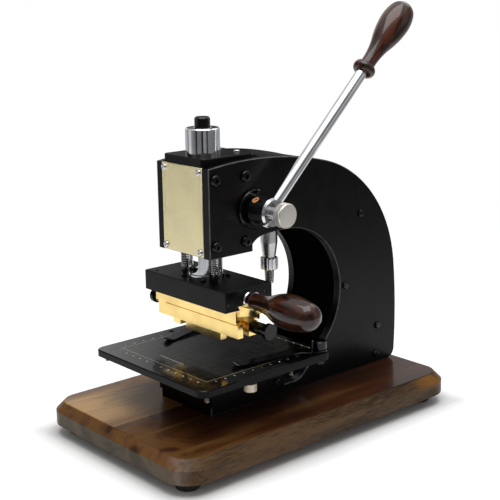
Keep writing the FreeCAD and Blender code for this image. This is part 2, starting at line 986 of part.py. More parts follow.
def make_throat_wall():
    """The sheet that closes the spine towards the throat, with the hole for the connector."""
    near = -D.wall_inset.value
    far = -D.wall_inset.value - D.wall_thick.value
    shape = bent_sheet(throat_arcs(), near, far, D.frame_half.value)
    sheet = doc.addObject("Part::Feature", "ThroatSheet")
    sheet.Shape = shape
    hole = rod(
        D.barrel_spigot_radius, D.barrel_spigot_top - D.barrel_top, 0, D.plug_y, D.barrel_top
    )
    keep("throat_wall", cut(sheet, [hole]))


# Head

def ram_top():
    """Where the rack ends at rest, just below the head's top."""
    return D.head_top - D.ram_sink


def gear_pitch_radius():
    """Half the module for each tooth."""
    return D.gear_module * D.gear_teeth / 2


def make_head():
    """The head block, with the bores for the ram, the shaft and the springs and the gear's chamber."""
    body = new_body("HeadBody")
    steps = [
        (D.head_front, D.head_top),
        (D.head_rear, D.head_top),
        (D.head_rear, D.head_step_z),
        (D.throat_front_y - D.head_step_gap, D.head_step_z),
        (D.throat_front_y - D.head_step_gap, D.head_underside),
        (D.head_front, D.head_underside),
    ]
    pad(body, outline(sketch_on(body, "YZ_Plane", "Side"), steps), D.frame_half * 2, True)
    tall = D.head_top - D.head_underside
    counterbore = D.hub_tube_top + D.hub_bore_gap - D.head_underside
    chamber = gear_pitch_radius() + D.gear_module + D.gear_chamber_gap
    chamber_half = D.gear_face / 2 + D.gear_side_gap
    holes = [
        rod(D.ram_radius + D.slide_gap, tall, 0, D.ram_y, D.head_underside),
        rod(D.hub_tube_radius + D.slide_gap, counterbore, 0, D.ram_y, D.head_underside),
        rod(chamber, chamber_half * 2, -chamber_half, D.axle_y, D.axle_z, TO_RIGHT),
        rod(D.axle_radius + D.axle_way, D.frame_half * 2, -D.frame_half, D.axle_y, D.axle_z, TO_RIGHT),
    ]
    for side in (-1, 1):
        pocket = D.pocket_top - D.head_underside
        holes.append(rod(D.pocket_radius, pocket, side * D.spring_x, D.spring_y, D.head_underside))
        holes.append(rod(D.plug_radius, D.plug_sink, side * D.spring_x, D.spring_y, D.pocket_top))
        turn = TO_LEFT if side > 0 else TO_RIGHT
        for y, z in head_screw_places():
            holes.append(rod(D.head_screw_radius, D.head_screw_grip, side * D.frame_half, y, z, turn))
        for z in plate_screw_heights():
            holes.append(
                rod(D.plate_screw_radius, D.plate_screw_grip, side * D.plate_screw_x, D.head_front, z,
                    TO_BACK)
            )
        holes.append(
            rod(D.top_screw_radius, D.top_screw_grip, side * D.top_screw_x, D.top_screw_y,
                D.head_top, DOWN)
        )
    keep("head_block", cut(body, holes))


def plate_screw_heights():
    """The heights of the nameplate's screws."""
    return [D.plate_bottom + D.plate_screw_margin, D.plate_top - D.plate_screw_margin]


def make_head_screws():
    """Eight button screws with hex sockets that hold the cheeks to the head."""
    screws = []
    reach = D.frame_half + D.cheek_thick
    for side, turn in ((1, TO_RIGHT), (-1, TO_LEFT)):
        for y, z in head_screw_places():
            screw = button_screw(
                D.head_screw_radius, D.cheek_thick + D.head_screw_grip, D.head_screw_head,
                D.head_screw_head_thick, D.head_screw_socket
            )
            screws.append(place(screw, side * reach, y, z, turn))
    keep("cheek_screws", together(screws))


def make_top_plate():
    """The plate on the head, with the hole for the sleeve and two small screws behind it."""
    body = new_body("TopPlateBody")
    plan = rounded_steps(
        -D.frame_half, D.frame_half, D.head_front, D.top_plate_rear, D.top_plate_corner
    )
    sketch = outline(sketch_on(body, "XY_Plane", "Plan", D.head_top), plan)
    pad(body, sketch, D.top_plate_thick)
    top = SIZES["head_top"] + SIZES["top_plate_thick"]
    edge_bevel(body, D.top_plate_edge, lambda edge: edge_in_plane(edge, "Z", top))
    holes = [rod(D.sleeve_spigot_radius, D.top_plate_thick, 0, D.ram_y, D.head_top)]
    screws = []
    for side in (-1, 1):
        holes.append(
            rod(D.top_screw_radius, D.top_plate_thick, side * D.top_screw_x, D.top_screw_y, D.head_top)
        )
        screw = button_screw(
            D.top_screw_radius, D.top_plate_thick + D.top_screw_grip, D.top_screw_head,
            D.top_screw_head_thick
        )
        screws.append(
            place(screw, side * D.top_screw_x, D.top_screw_y, D.head_top + D.top_plate_thick)
        )
    keep("head_top_plate", cut(body, holes))
    keep("top_plate_screws", together(screws))


def make_sleeve():
    """The bright guide sleeve of the stem, with a spigot in the top plate."""
    seat = D.head_top + D.top_plate_thick
    top = seat + D.sleeve_height
    bore = D.stem_radius + D.slide_gap
    body = turned("SleeveBody", [
        (bore, D.head_top),
        (D.sleeve_spigot_radius, D.head_top),
        (D.sleeve_spigot_radius, seat),
        (D.sleeve_radius, seat),
        (D.sleeve_radius, top - D.sleeve_edge),
        (D.sleeve_radius - D.sleeve_edge, top),
        (bore + D.sleeve_edge, top),
        (bore, top - D.sleeve_edge),
    ])
    keep("guide_sleeve", place(body, 0, D.ram_y))


def make_nameplate():
    """The bare brass plate on the head's front, with four domed screws."""
    plate = box(
        -D.plate_half, D.plate_half, D.head_front - D.plate_thick, D.head_front,
        D.plate_bottom, D.plate_top
    )
    holes = []
    screws = []
    for side in (-1, 1):
        for z in plate_screw_heights():
            holes.append(
                rod(D.plate_screw_radius, D.plate_thick, side * D.plate_screw_x,
                    D.head_front - D.plate_thick, z, TO_BACK)
            )
            screw = button_screw(
                D.plate_screw_radius, D.plate_thick + D.plate_screw_grip, D.plate_screw_head,
                D.plate_screw_head_thick, D.plate_screw_socket
            )
            screws.append(
                place(screw, side * D.plate_screw_x, D.head_front - D.plate_thick, z, TO_FRONT)
            )
    keep("nameplate", cut(plate, holes))
    keep("nameplate_screws", together(screws))


def make_bearings():
    """Two bronze bushes in the cheeks, with a ring outside the right one and a cap on the left."""
    bore = D.axle_radius + D.axle_gap
    bushes = []
    for start in (D.frame_half, -D.frame_half - D.cheek_thick):
        bush = turned("Bush", [
            (bore, 0),
            (D.bush_radius, 0),
            (D.bush_radius, D.cheek_thick),
            (bore, D.cheek_thick),
        ])
        bushes.append(place(bush, start, D.axle_y, D.axle_z, TO_RIGHT))
    keep("shaft_bushes", together(bushes))
    reach = D.frame_half + D.cheek_thick
    edge = D.flange_edge
    ring = turned("RingBody", [
        (bore + D.slide_gap, 0),
        (D.flange_radius, 0),
        (D.flange_radius, D.flange_thick - edge),
        (D.flange_radius - edge, D.flange_thick),
        (bore + D.slide_gap, D.flange_thick),
    ])
    place(ring, reach, D.axle_y, D.axle_z, TO_RIGHT)
    cap = turned("CapBody", [
        (0, 0),
        (D.flange_radius, 0),
        (D.flange_radius, D.flange_thick - edge),
        (D.flange_radius - edge, D.flange_thick),
        (0, D.flange_thick),
    ])
    place(cap, -reach, D.axle_y, D.axle_z, TO_LEFT)
    keep("bearing_covers", together([ring, cap]))


# Lever

def make_shaft():
    """The lever's shaft, from the left bush to the cap."""
    start = -D.frame_half - D.cheek_thick + D.shaft_end_gap
    length = D.hub_cap_end - D.hub_cap_wall - start
    keep("lever_shaft", rod(D.axle_radius, length, start, D.axle_y, D.axle_z, TO_RIGHT))


def involute(base_radius, radius, turn):
    """The point of an involute flank at a radius, turned about the gear's middle."""
    roll = math.sqrt(max(radius * radius / (base_radius * base_radius) - 1, 0))
    angle = roll - math.atan(roll) + turn
    return vector(radius * math.cos(angle), radius * math.sin(angle), 0)


def make_pinion():
    """The pinion: a blank with one involute gap cut and repeated round it."""
    module = D.gear_module.value
    teeth = int(D.gear_teeth.value)
    pitch_radius = module * teeth / 2
    base_radius = pitch_radius * math.cos(math.radians(D.gear_pressure.value))
    tip_radius = pitch_radius + module
    root_radius = pitch_radius - D.gear_foot.value * module
    at_pitch = math.sqrt(pitch_radius ** 2 / base_radius ** 2 - 1)
    pitch_turn = at_pitch - math.atan(at_pitch)
    half_gap = math.pi / (2 * teeth) + D.gear_backlash.value / pitch_radius
    outside = tip_radius + module / 2
    body = new_body("PinionBody")
    blank = sketch_on(body, "YZ_Plane", "Blank")
    blank.addGeometry(Part.Circle(vector(0, 0, 0), vector(0, 0, 1), tip_radius), False)
    pad(body, blank, D.gear_face, True)
    gap = sketch_on(body, "YZ_Plane", "Gap")
    # The upper flank of the gap starts at its half angle and opens away from the gap's middle.
    upper = []
    for radius in (base_radius, (base_radius + outside) / 2, outside):
        point = involute(base_radius, radius, half_gap - pitch_turn)
        upper.append(point)
    lower = [vector(point.x, -point.y, 0) for point in upper]
    root_upper = vector(root_radius, upper[0].y * root_radius / base_radius, 0)
    root_lower = vector(root_radius, -root_upper.y, 0)
    gap.addGeometry(Part.LineSegment(root_lower, root_upper), False)
    gap.addGeometry(Part.LineSegment(root_upper, upper[0]), False)
    gap.addGeometry(Part.Arc(upper[0], upper[1], upper[2]), False)
    gap.addGeometry(Part.LineSegment(upper[2], lower[2]), False)
    gap.addGeometry(Part.Arc(lower[2], lower[1], lower[0]), False)
    gap.addGeometry(Part.LineSegment(lower[0], root_lower), False)
    pocket = body.newObject("PartDesign::Pocket", "GapCut")
    pocket.Profile = gap
    bind(pocket, Length=D.gear_face * 2)
    pocket.Midplane = True
    doc.recompute()
    pattern = body.newObject("PartDesign::PolarPattern", "Teeth")
    pattern.Originals = [pocket]
    pattern.Axis = (blank, ["N_Axis"])
    pattern.Angle = 360.0
    pattern.Occurrences = teeth
    body.Tip = pattern
    doc.recompute()
    # A tooth, and not a gap, points forward at the rack.
    half_pitch = math.degrees(math.pi / teeth)
    turn = 0.0 if teeth % 2 else half_pitch
    place(body, 0, D.axle_y, D.axle_z, FreeCAD.Rotation(vector(1, 0, 0), turn))
    bore = rod(D.axle_radius, D.gear_face, -D.gear_face / 2, D.axle_y, D.axle_z, TO_RIGHT)
    keep("drive_pinion", cut(body, [bore]))


def lever_point(x, along):
    """A point beside the shaft, a distance along the lever's lean."""
    lean = math.radians(D.rod_lean.value)
    return (
        x,
        D.axle_y + along * math.sin(lean),
        D.axle_z + along * math.cos(lean),
    )


def lever_turn():
    """The turn that lays an upright piece along the lever's lean."""
    return FreeCAD.Rotation(vector(1, 0, 0), -D.rod_lean.value)


def grub_turn():
    """The turn of the hub's set screw, from upright to its own angle."""
    return FreeCAD.Rotation(vector(1, 0, 0), D.grub_angle.value - 90)


def make_lever_hub():
    """The bright hub with a shoulder behind it, bored for the shaft, the rod and a set screw."""
    hub = turned("HubBody", [
        (D.axle_radius, D.lever_collar_start),
        (D.lever_collar_radius, D.lever_collar_start),
        (D.lever_collar_radius, D.lever_hub_start),
        (D.lever_hub_radius - D.lever_hub_edge, D.lever_hub_start),
        (D.lever_hub_radius, D.lever_hub_start + D.lever_hub_edge),
        (D.lever_hub_radius, D.lever_hub_end - D.lever_hub_edge),
        (D.lever_hub_radius - D.lever_hub_edge, D.lever_hub_end),
        (D.axle_radius, D.lever_hub_end),
    ])
    place(hub, 0, D.axle_y, D.axle_z, TO_RIGHT)
    rod_hole = rod(D.rod_radius, D.lever_hub_radius, *lever_point(D.rod_x, 0), lever_turn())
    grub_hole = rod(
        D.grub_radius, D.lever_hub_radius, D.grub_x, D.axle_y, D.axle_z, grub_turn()
    )
    keep("lever_hub", cut(hub, [rod_hole, grub_hole]))
    angle = math.radians(D.grub_angle.value)
    start = D.axle_radius + D.axle_gap
    end = D.lever_hub_radius - D.grub_sink
    seat = end - D.grub_socket_depth
    grub = rod(
        D.grub_radius,
        end - start,
        D.grub_x,
        D.axle_y + start * math.cos(angle),
        D.axle_z + start * math.sin(angle),
        grub_turn(),
    )
    socket = six_sided(
        D.grub_socket,
        D.grub_socket_depth,
        D.grub_x,
        D.axle_y + seat * math.cos(angle),
        D.axle_z + seat * math.sin(angle),
        grub_turn(),
    )
    keep("hub_set_screw", cut(grub, [socket]))


def make_hub_cap():
    """The knurled cap on the shaft's end."""
    edge = D.hub_cap_edge
    inside = D.hub_cap_end - D.hub_cap_wall
    cap = turned("HubCapBody", [
        (D.axle_radius, D.hub_cap_start),
        (D.hub_cap_radius - edge, D.hub_cap_start),
        (D.hub_cap_radius, D.hub_cap_start + edge),
        (D.hub_cap_radius, D.hub_cap_end - edge),
        (D.hub_cap_radius - edge, D.hub_cap_end),
        (0, D.hub_cap_end),
        (0, inside),
        (D.axle_radius, inside),
    ])
    keep("hub_cap", place(cap, 0, D.axle_y, D.axle_z, TO_RIGHT))


def make_lever_rod():
    """The lever's round rod, with the turned bead and grip on its tang."""
    turn = lever_turn()
    length = D.collar_at + D.tang_length - D.rod_start
    bar = rod(D.rod_radius, length, *lever_point(D.rod_x, D.rod_start), turn)
    keep("lever_rod", bar)
    half = D.collar_half
    lip = D.collar_radius - half
    collar = turned("CollarBody", [
        (D.rod_radius, -half),
        (lip, -half),
        (D.collar_radius, 0, "arc"),
        (lip, half, "arc"),
        (D.rod_radius, half),
    ])
    keep("handle_collar", place(collar, *lever_point(D.rod_x, D.collar_at), turn))
    grip = turned("GripBody", [
        (D.rod_radius, half),
        (D.grip_neck_radius, half),
        (D.grip_neck_radius, D.grip_neck_at),
        (D.grip_flare_radius, D.grip_flare_at, "arc"),
        (D.grip_belly_radius, D.grip_belly_at, "arc"),
        (D.grip_shoulder_radius, D.grip_shoulder_at, "arc"),
        (D.grip_tip_flat, D.grip_tip_at, "arc"),
        (0, D.grip_tip_at),
        (0, D.tang_length),
        (D.rod_radius, D.tang_length),
    ])
    keep("lever_handle", place(grip, *lever_point(D.rod_x, D.collar_at), turn))


# Ram

def make_rack():
    """The ram's bar, with a flat at its back and rack teeth cut across it."""
    body = new_body("RackBody")
    plan = sketch_on(body, "XY_Plane", "Plan", D.hub_tube_top)
    plan.addGeometry(Part.Circle(vector(0, 0, 0), vector(0, 0, 1), D.ram_radius.value), False)
    number = plan.addConstraint(Sketcher.Constraint("Radius", 0, D.ram_radius.value))
    plan.setExpression("Constraints[" + str(number) + "]", D.ram_radius.formula)
    pad(body, plan, ram_top() - D.hub_tube_top)
    pitch_line = D.axle_y - D.ram_y - gear_pitch_radius()
    tip_line = pitch_line + D.gear_module
    flat = sketch_on(body, "YZ_Plane", "Flat")
    outline(flat, [
        (tip_line, D.hub_tube_top - D.over_run),
        (D.ram_radius + D.over_run, D.hub_tube_top - D.over_run),
        (D.ram_radius + D.over_run, ram_top() + D.over_run),
        (tip_line, ram_top() + D.over_run),
    ])
    flat_cut = body.newObject("PartDesign::Pocket", "FlatCut")
    flat_cut.Profile = flat
    bind(flat_cut, Length=D.ram_radius * 4)
    flat_cut.Midplane = True
    tooth_pitch = D.gear_module * math.pi
    slope = math.tan(math.radians(D.gear_pressure.value))
    half_at_pitch = tooth_pitch / 4 + D.gear_backlash
    root_line = pitch_line - D.gear_module * D.rack_foot
    half_at_root = half_at_pitch - D.gear_module * D.rack_foot * slope
    outside = tip_line + D.over_run
    half_outside = half_at_pitch + (D.gear_module + D.over_run) * slope
    lowest = D.axle_z - tooth_pitch * 2
    gap = sketch_on(body, "YZ_Plane", "Gap")
    outline(gap, [
        (root_line, lowest - half_at_root),
        (outside, lowest - half_outside),
        (outside, lowest + half_outside),
        (root_line, lowest + half_at_root),
    ])
    gap_cut = body.newObject("PartDesign::Pocket", "GapCut")
    gap_cut.Profile = gap
    bind(gap_cut, Length=D.ram_radius * 4)
    gap_cut.Midplane = True
    doc.recompute()
    pattern = body.newObject("PartDesign::LinearPattern", "Teeth")
    pattern.Originals = [gap_cut]
    pattern.Direction = (gap, ["V_Axis"])
    bind(pattern, Length=tooth_pitch * (D.rack_gaps - 1))
    pattern.Occurrences = int(D.rack_gaps.value)
    body.Tip = pattern
    doc.recompute()
    place(body, 0, D.ram_y, 0)
    holes = [
        rod(D.stem_root_radius, D.stem_root, 0, D.ram_y, ram_top() - D.stem_root),
        rod(D.ram_bolt_radius, D.ram_bolt_grip, 0, D.ram_y, D.hub_tube_top),
    ]
    keep("ram_rack", cut(body, holes))


def make_stem():
    """The stem that rises from the ram through the sleeve."""
    stem = turned("StemBody", [
        (0, ram_top() - D.stem_root),
        (D.stem_root_radius, ram_top() - D.stem_root),
        (D.stem_root_radius, ram_top()),
        (D.stem_radius, ram_top()),
        (D.stem_radius, D.stem_top - D.stem_edge),
        (D.stem_radius - D.stem_edge, D.stem_top),
        (0, D.stem_top),
    ])
    keep("ram_stem", place(stem, 0, D.ram_y))


def slot_steps(width, low, high):
    """The steps of an upright window with round ends."""
    half = width / 2
    return [
        (half, high - half),
        (-half, high - half, "arc"),
        (-half, low + half),
        (half, low + half, "arc"),
    ]


def make_ram_hub():
    """The bright tube under the ram, with a foot flange, a roof and four arched windows."""
    body = turned("RamHubBody", [
        (D.hub_tube_bore, D.block_top),
        (D.hub_flange_radius, D.block_top),
        (D.hub_flange_radius, D.block_top + D.hub_flange_thick),
        (D.hub_tube_radius, D.block_top + D.hub_flange_thick),
        (D.hub_tube_radius, D.hub_tube_top),
        (D.ram_bolt_radius, D.hub_tube_top),
        (D.ram_bolt_radius, D.hub_tube_top - D.hub_tube_roof),
        (D.hub_tube_bore, D.hub_tube_top - D.hub_tube_roof),
    ])
    for role in ("XZ_Plane", "YZ_Plane"):
        sketch = sketch_on(body, role, "Window")
        outline(sketch, slot_steps(D.window_width, D.window_bottom, D.window_top))
        pocket = body.newObject("PartDesign::Pocket", "WindowCut")
        pocket.Profile = sketch
        bind(pocket, Length=D.hub_flange_radius * 4)
        pocket.Midplane = True
    doc.recompute()
    keep("ram_hub", place(body, 0, D.ram_y))


def make_ram_bolt():
    """The bolt that ties the heater block, the hub tube and the ram's bar together."""
    start = D.block_top - D.ram_bolt_sink
    length = D.hub_tube_top + D.ram_bolt_grip - start
    keep("ram_bolt", rod(D.ram_bolt_radius, length, 0, D.ram_y, start))


def hub_screw_places():
    """Where the small screws round the hub's foot stand."""
    reach = D.hub_screw_ring * math.sqrt(0.5)
    places = []
    for across in (-1, 1):
        for along in (-1, 1):
            places.append((across * reach, D.ram_y + along * reach))
    return places


def make_heater_block():
    """The heater block, with its dovetail, heater bores and the holes of what is screwed into it."""
    body = new_body("HeaterBody")
    steps = [
        (-D.dovetail_mouth, D.block_bottom),
        (-D.dovetail_floor, D.block_bottom + D.dovetail_depth),
        (D.dovetail_floor, D.block_bottom + D.dovetail_depth),
        (D.dovetail_mouth, D.block_bottom),
        (D.block_rear - D.ram_y, D.block_bottom),
        (D.block_rear - D.ram_y, D.block_top),
        (D.block_front - D.ram_y, D.block_top),
        (D.block_front - D.ram_y, D.block_bottom),
    ]
    sketch = outline(sketch_on(body, "YZ_Plane", "Section"), steps)
    pad(body, sketch, D.block_half * 2, True)
    top = SIZES["block_top"]
    edge_bevel(body, D.block_edge, lambda edge: edge_in_plane(edge, "Z", top))
    place(body, 0, D.ram_y)
    bolt_seat = D.block_top - D.ram_bolt_sink
    holes = [
        rod(D.ram_bolt_radius, D.ram_bolt_sink, 0, D.ram_y, bolt_seat),
        rod(D.probe_hole_radius, D.probe_hole_depth, D.probe_hole_x, D.probe_hole_y, D.block_top, DOWN),
        rod(D.gland_radius, D.gland_sink, 0, D.block_rear, D.gland_z, TO_FRONT),
        rod(D.stud_radius, D.stud_sink, D.block_half, D.side_y, D.side_z, TO_LEFT),
    ]
    for side in (-1, 1):
        holes.append(
            rod(D.heater_radius, D.heater_length, side * D.heater_x, D.block_rear, D.heater_z, TO_FRONT)
        )
        holes.append(
            rod(D.plug_radius, D.plug_sink, side * D.spring_x, D.spring_y, D.block_top, DOWN)
        )
    for x, y in hub_screw_places():
        holes.append(rod(D.hub_screw_radius, D.hub_screw_grip, x, y, D.block_top, DOWN))
    for y, z in set_screw_places():
        holes.append(
            rod(D.set_screw_radius, D.set_screw_length + D.set_screw_sink, D.block_half, y, z, TO_LEFT)
        )
    keep("heater_block", cut(body, holes))


def set_screw_places():
    """Where the two set screws sit in the block's right face."""
    return [
        (D.set_screw_rear_y, D.set_screw_rear_z),
        (D.set_screw_front_y, D.set_screw_front_z),
    ]


def make_block_fittings():
    """The heaters, the small screws, the lead's gland and the springs' lower plugs."""
    heaters = []
    plugs = []
    for side in (-1, 1):
        heaters.append(
            rod(D.heater_radius, D.heater_length, side * D.heater_x, D.block_rear, D.heater_z, TO_FRONT)
        )
        plug = turned("Plug", [
            (0, D.block_top - D.plug_sink),
            (D.plug_radius, D.block_top - D.plug_sink),
            (D.plug_radius, D.block_top),
            (D.plug_neck_radius, D.block_top),
            (D.plug_neck_radius, D.block_top + D.plug_neck_thick),
            (D.plug_rim_radius, D.block_top + D.plug_neck_thick),
            (D.plug_rim_radius, D.block_top + D.plug_neck_thick + D.plug_rim_thick),
            (D.plug_radius, D.block_top + D.plug_neck_thick + D.plug_rim_thick),
            (D.plug_radius, D.spring_bottom + D.plug_grip),
            (0, D.spring_bottom + D.plug_grip),
        ])
        plugs.append(place(plug, side * D.spring_x, D.spring_y))
    keep("heater_cartridges", together(heaters))
    keep("lower_spring_plugs", together(plugs))
    screws = []
    for x, y in hub_screw_places():
        screw = button_screw(
            D.hub_screw_radius, D.hub_screw_grip, D.hub_screw_head, D.hub_screw_head_thick
        )
        screws.append(place(screw, x, y, D.block_top))
    for y, z in set_screw_places():
        start = D.block_half - D.set_screw_length - D.set_screw_sink
        screws.append(rod(D.set_screw_radius, D.set_screw_length, start, y, z, TO_RIGHT))
    keep("heater_block_screws", together(screws))
    gland = turned("GlandBody", [
        (0, -D.gland_sink),
        (D.gland_radius, -D.gland_sink),
        (D.gland_radius, D.gland_stand - D.gland_edge),
        (D.gland_radius - D.gland_edge, D.gland_stand),
        (D.gland_bore_radius, D.gland_stand),
        (D.gland_bore_radius, 0),
        (0, 0),
    ])
    keep("lead_gland", place(gland, 0, D.block_rear, D.gland_z, TO_BACK))


def spring_top():
    """The height of the springs' upper end."""
    return D.spring_bottom + D.spring_pitch * D.spring_turns + D.spring_wire * 2


def make_upper_plugs():
    """The plugs in the head's pockets that the springs' upper turns are wound on."""
    plugs = []
    for side in (-1, 1):
        start = spring_top() - D.plug_grip
        length = D.pocket_top + D.plug_sink - start
        plugs.append(rod(D.plug_radius, length, side * D.spring_x, D.spring_y, start))
    keep("upper_spring_plugs", together(plugs))


def biarc_path(points, tangents):
    """A wire of arcs through points that leaves and meets each one along its tangent."""
    edges = []
    for index in range(len(points) - 1):
        start = points[index]
        end = points[index + 1]
        out = tangents[index]
        into = tangents[index + 1]
        chord = end - start
        both = out + into
        # The joint lies where both arcs have equal tangent lengths.
        square = 2 * (1 - out.dot(into))
        along = chord.dot(both)
        if abs(square) < 1e-9:
            reach = chord.dot(chord) / (4 * chord.dot(into))
        else:
            reach = (-along + math.sqrt(along * along + square * chord.dot(chord))) / square
        joint = (start + out * reach + end - into * reach) * 0.5
        for first, heading, last in ((start, out, joint), (end, -into, joint)):
            span = last - first
            side = heading * heading.dot(span) * -1 + span
            bow = span.dot(span) / (2 * side.dot(span) / side.Length)
            centre = first + side.normalize() * bow
            middle = (first + last) * 0.5 - centre
            middle = centre + middle.normalize() * bow
            if first is start:
                edges.append(Part.Arc(first, middle, last).toShape())
            else:
                edges.append(Part.Arc(last, middle, first).toShape())
    return Part.Wire(edges)


def coil(radius_low, radius_high, low, pitch, turns, wire):
    """One unbroken coil about the upright axis, with its least gap to itself, from a pipe shell."""
    per_turn = 4
    points = []
    tangents = []
    steps = int(turns * per_turn)
    for step in range(steps + 1):
        share = step / steps
        angle = 2 * math.pi * step / per_turn
        radius = radius_low + (radius_high - radius_low) * share
        height = low + pitch * step / per_turn
        points.append(vector(radius * math.cos(angle), radius * math.sin(angle), height))
        drift = (radius_high - radius_low) / (turns * 2 * math.pi)
        heading = vector(
            drift * math.cos(angle) - radius * math.sin(angle),
            drift * math.sin(angle) + radius * math.cos(angle),
            pitch / (2 * math.pi),
        )
        tangents.append(heading.normalize())
    path = biarc_path(points, tangents)
    ring = Part.Wire(Part.Circle(points[0], tangents[0], wire).toShape())
    shell = Part.BRepOffsetAPI.MakePipeShell(path)
    shell.add(ring)
    shell.build()
    shell.makeSolid()
    least = min(
        (points[index + per_turn] - points[index]).Length for index in range(steps + 1 - per_turn)
    )
    return shell.shape(), least - 2 * wire


def make_springs():
    """The two return springs, wound on their plugs."""
    springs = []
    for side in (1, -1):
        shape, gap = coil(
            D.spring_radius.value, D.spring_radius.value, D.spring_wire.value,
            D.spring_pitch.value, int(D.spring_turns.value), D.spring_wire.value
        )
        print("return spring least gap between turns", round(gap, 3))
        spring = doc.addObject("Part::Feature", "SpringWire")
        spring.Shape = shape
        springs.append(place(spring, side * D.spring_x, D.spring_y, D.spring_bottom))
    keep("return_springs", together(springs))


def make_side_handle():
    """The ferrule, stud and turned handle at the block's right end."""
    ferrule = turned("FerruleBody", [
        (D.stud_radius, 0),
        (D.ferrule_radius, 0),
        (D.ferrule_radius, D.ferrule_rim),
        (D.ferrule_waist_radius, D.ferrule_waist_start),
        (D.ferrule_waist_radius, D.ferrule_waist_end),
        (D.ferrule_radius, D.ferrule_length),
        (D.stud_radius, D.ferrule_length),
    ])
    keep("handle_ferrule", place(ferrule, D.block_half, D.side_y, D.side_z, TO_RIGHT))
    start = D.block_half - D.stud_sink
    length = D.stud_sink + D.ferrule_length + D.stud_tang
    keep("handle_stud", rod(D.stud_radius, length, start, D.side_y, D.side_z, TO_RIGHT))
    grip = turned("SideGripBody", [
        (D.stud_radius, 0),
        (D.side_neck_radius, 0),
        (D.side_neck_radius, D.side_neck_at),
        (D.side_flare_radius, D.side_flare_at, "arc"),
        (D.side_belly_radius, D.side_belly_at, "arc"),
        (D.side_shoulder_radius, D.side_shoulder_at, "arc"),
        (D.grip_tip_flat, D.side_tip_at, "arc"),
        (0, D.side_tip_at),
        (0, D.stud_tang),
        (D.stud_radius, D.stud_tang),
    ])
    base = D.block_half + D.ferrule_length
    keep("side_handle", place(grip, base, D.side_y, D.side_z, TO_RIGHT))


# Type holder

def make_holder():
    """The brass slide with its dovetail tongue and a finger scoop in its right end."""
    top = D.block_bottom - D.holder_gap
    mouth = D.dovetail_mouth - D.dovetail_gap
    floor = D.dovetail_floor - D.dovetail_gap
    tongue_top = D.block_bottom + D.dovetail_depth - D.holder_gap
    body = new_body("HolderBody")
    steps = [
        (D.holder_front - D.ram_y, D.holder_bottom),
        (D.holder_front - D.ram_y, top),
        (-mouth, top),
        (-floor, tongue_top),
        (floor, tongue_top),
        (mouth, top),
        (D.holder_rear - D.ram_y, top),
        (D.holder_rear - D.ram_y, D.holder_bottom),
    ]
    sketch = outline(sketch_on(body, "YZ_Plane", "Section"), steps)
    pad(body, sketch, D.block_half * 2, True)
    place(body, 0, D.ram_y)
    scoop = rod(
        D.scoop_radius, top - D.scoop_roof - D.holder_bottom,
        D.block_half + D.scoop_radius - D.scoop_depth, D.scoop_y, D.holder_bottom
    )
    keep("holder_body", cut(body, [scoop]))


def make_jaws():
    """The fixed front jaw, with a parting groove along its top, and the rear jaw that slides."""
    front = box(
        D.jaw_left, D.jaw_right, D.holder_front, D.slot_front, D.jaw_bottom, D.holder_bottom
    )
    groove = box(
        D.groove_left, D.jaw_right, D.holder_front, D.holder_front + D.groove_depth,
        D.holder_bottom - D.groove_height, D.holder_bottom
    )
    keep("front_jaw", cut(front, [groove]))
    jaw = box(
        D.jaw_left, D.jaw_right, D.slot_rear, D.rear_jaw_rear, D.jaw_bottom, D.holder_bottom
    )
    shank = D.thumb_shank_radius + D.axle_gap
    holes = [
        rod(shank, D.thumb_shank, D.jaw_right, D.thumb_y, D.thumb_z, TO_LEFT),
        rod(shank, D.thumb_shank, D.jaw_left, D.thumb_y, D.thumb_z, TO_RIGHT),
    ]
    keep("rear_jaw", cut(jaw, holes))


def make_type():
    """What the slot holds: a plain die plate and a spacer."""
    die = box(
        D.die_left, D.die_right, D.slot_front, D.slot_rear, D.die_bottom, D.holder_bottom
    )
    spacer = box(
        D.spacer_left, D.spacer_right, D.slot_front, D.slot_rear, D.spacer_bottom, D.holder_bottom
    )
    keep("die_and_spacer", together([die, spacer]))


def make_thumb_screws():
    """The two clamp screws: shank in the rear jaw, long neck and flat disc head."""
    for name, side, start, turn in (
        ("thumb_screw_right", 1, D.jaw_right, TO_RIGHT),
        ("thumb_screw_left", -1, D.jaw_left, TO_LEFT),
    ):
        shoulder = D.jaw_right + D.thumb_gap - side * start
        neck = D.thumb_stem_end - side * start
        screw = turned("ThumbBody", [
            (0, -D.thumb_shank + D.thumb_gap),
            (D.thumb_shank_radius, -D.thumb_shank + D.thumb_gap),
            (D.thumb_shank_radius, shoulder),
            (D.thumb_stem_radius, shoulder),
            (D.thumb_stem_radius, neck),
            (D.thumb_disc_radius, neck),
            (D.thumb_disc_radius, neck + D.thumb_disc_thick),
            (0, neck + D.thumb_disc_thick),
        ])
        keep(name, place(screw, start, D.thumb_y, D.thumb_z, turn))


# Table

def column_screws():
    """One screw in each side of the table's column, like those of the tie bars."""
    screws = []
    for side, outward in ((1, TO_RIGHT), (-1, TO_LEFT)):
        screw = button_screw(
            D.tie_screw_radius, D.tie_screw_grip, D.tie_screw_head, D.tie_screw_head_thick
        )
        screws.append(
            place(screw, side * D.column_half, D.column_screw_y, D.column_screw_z, outward)
        )
    return screws


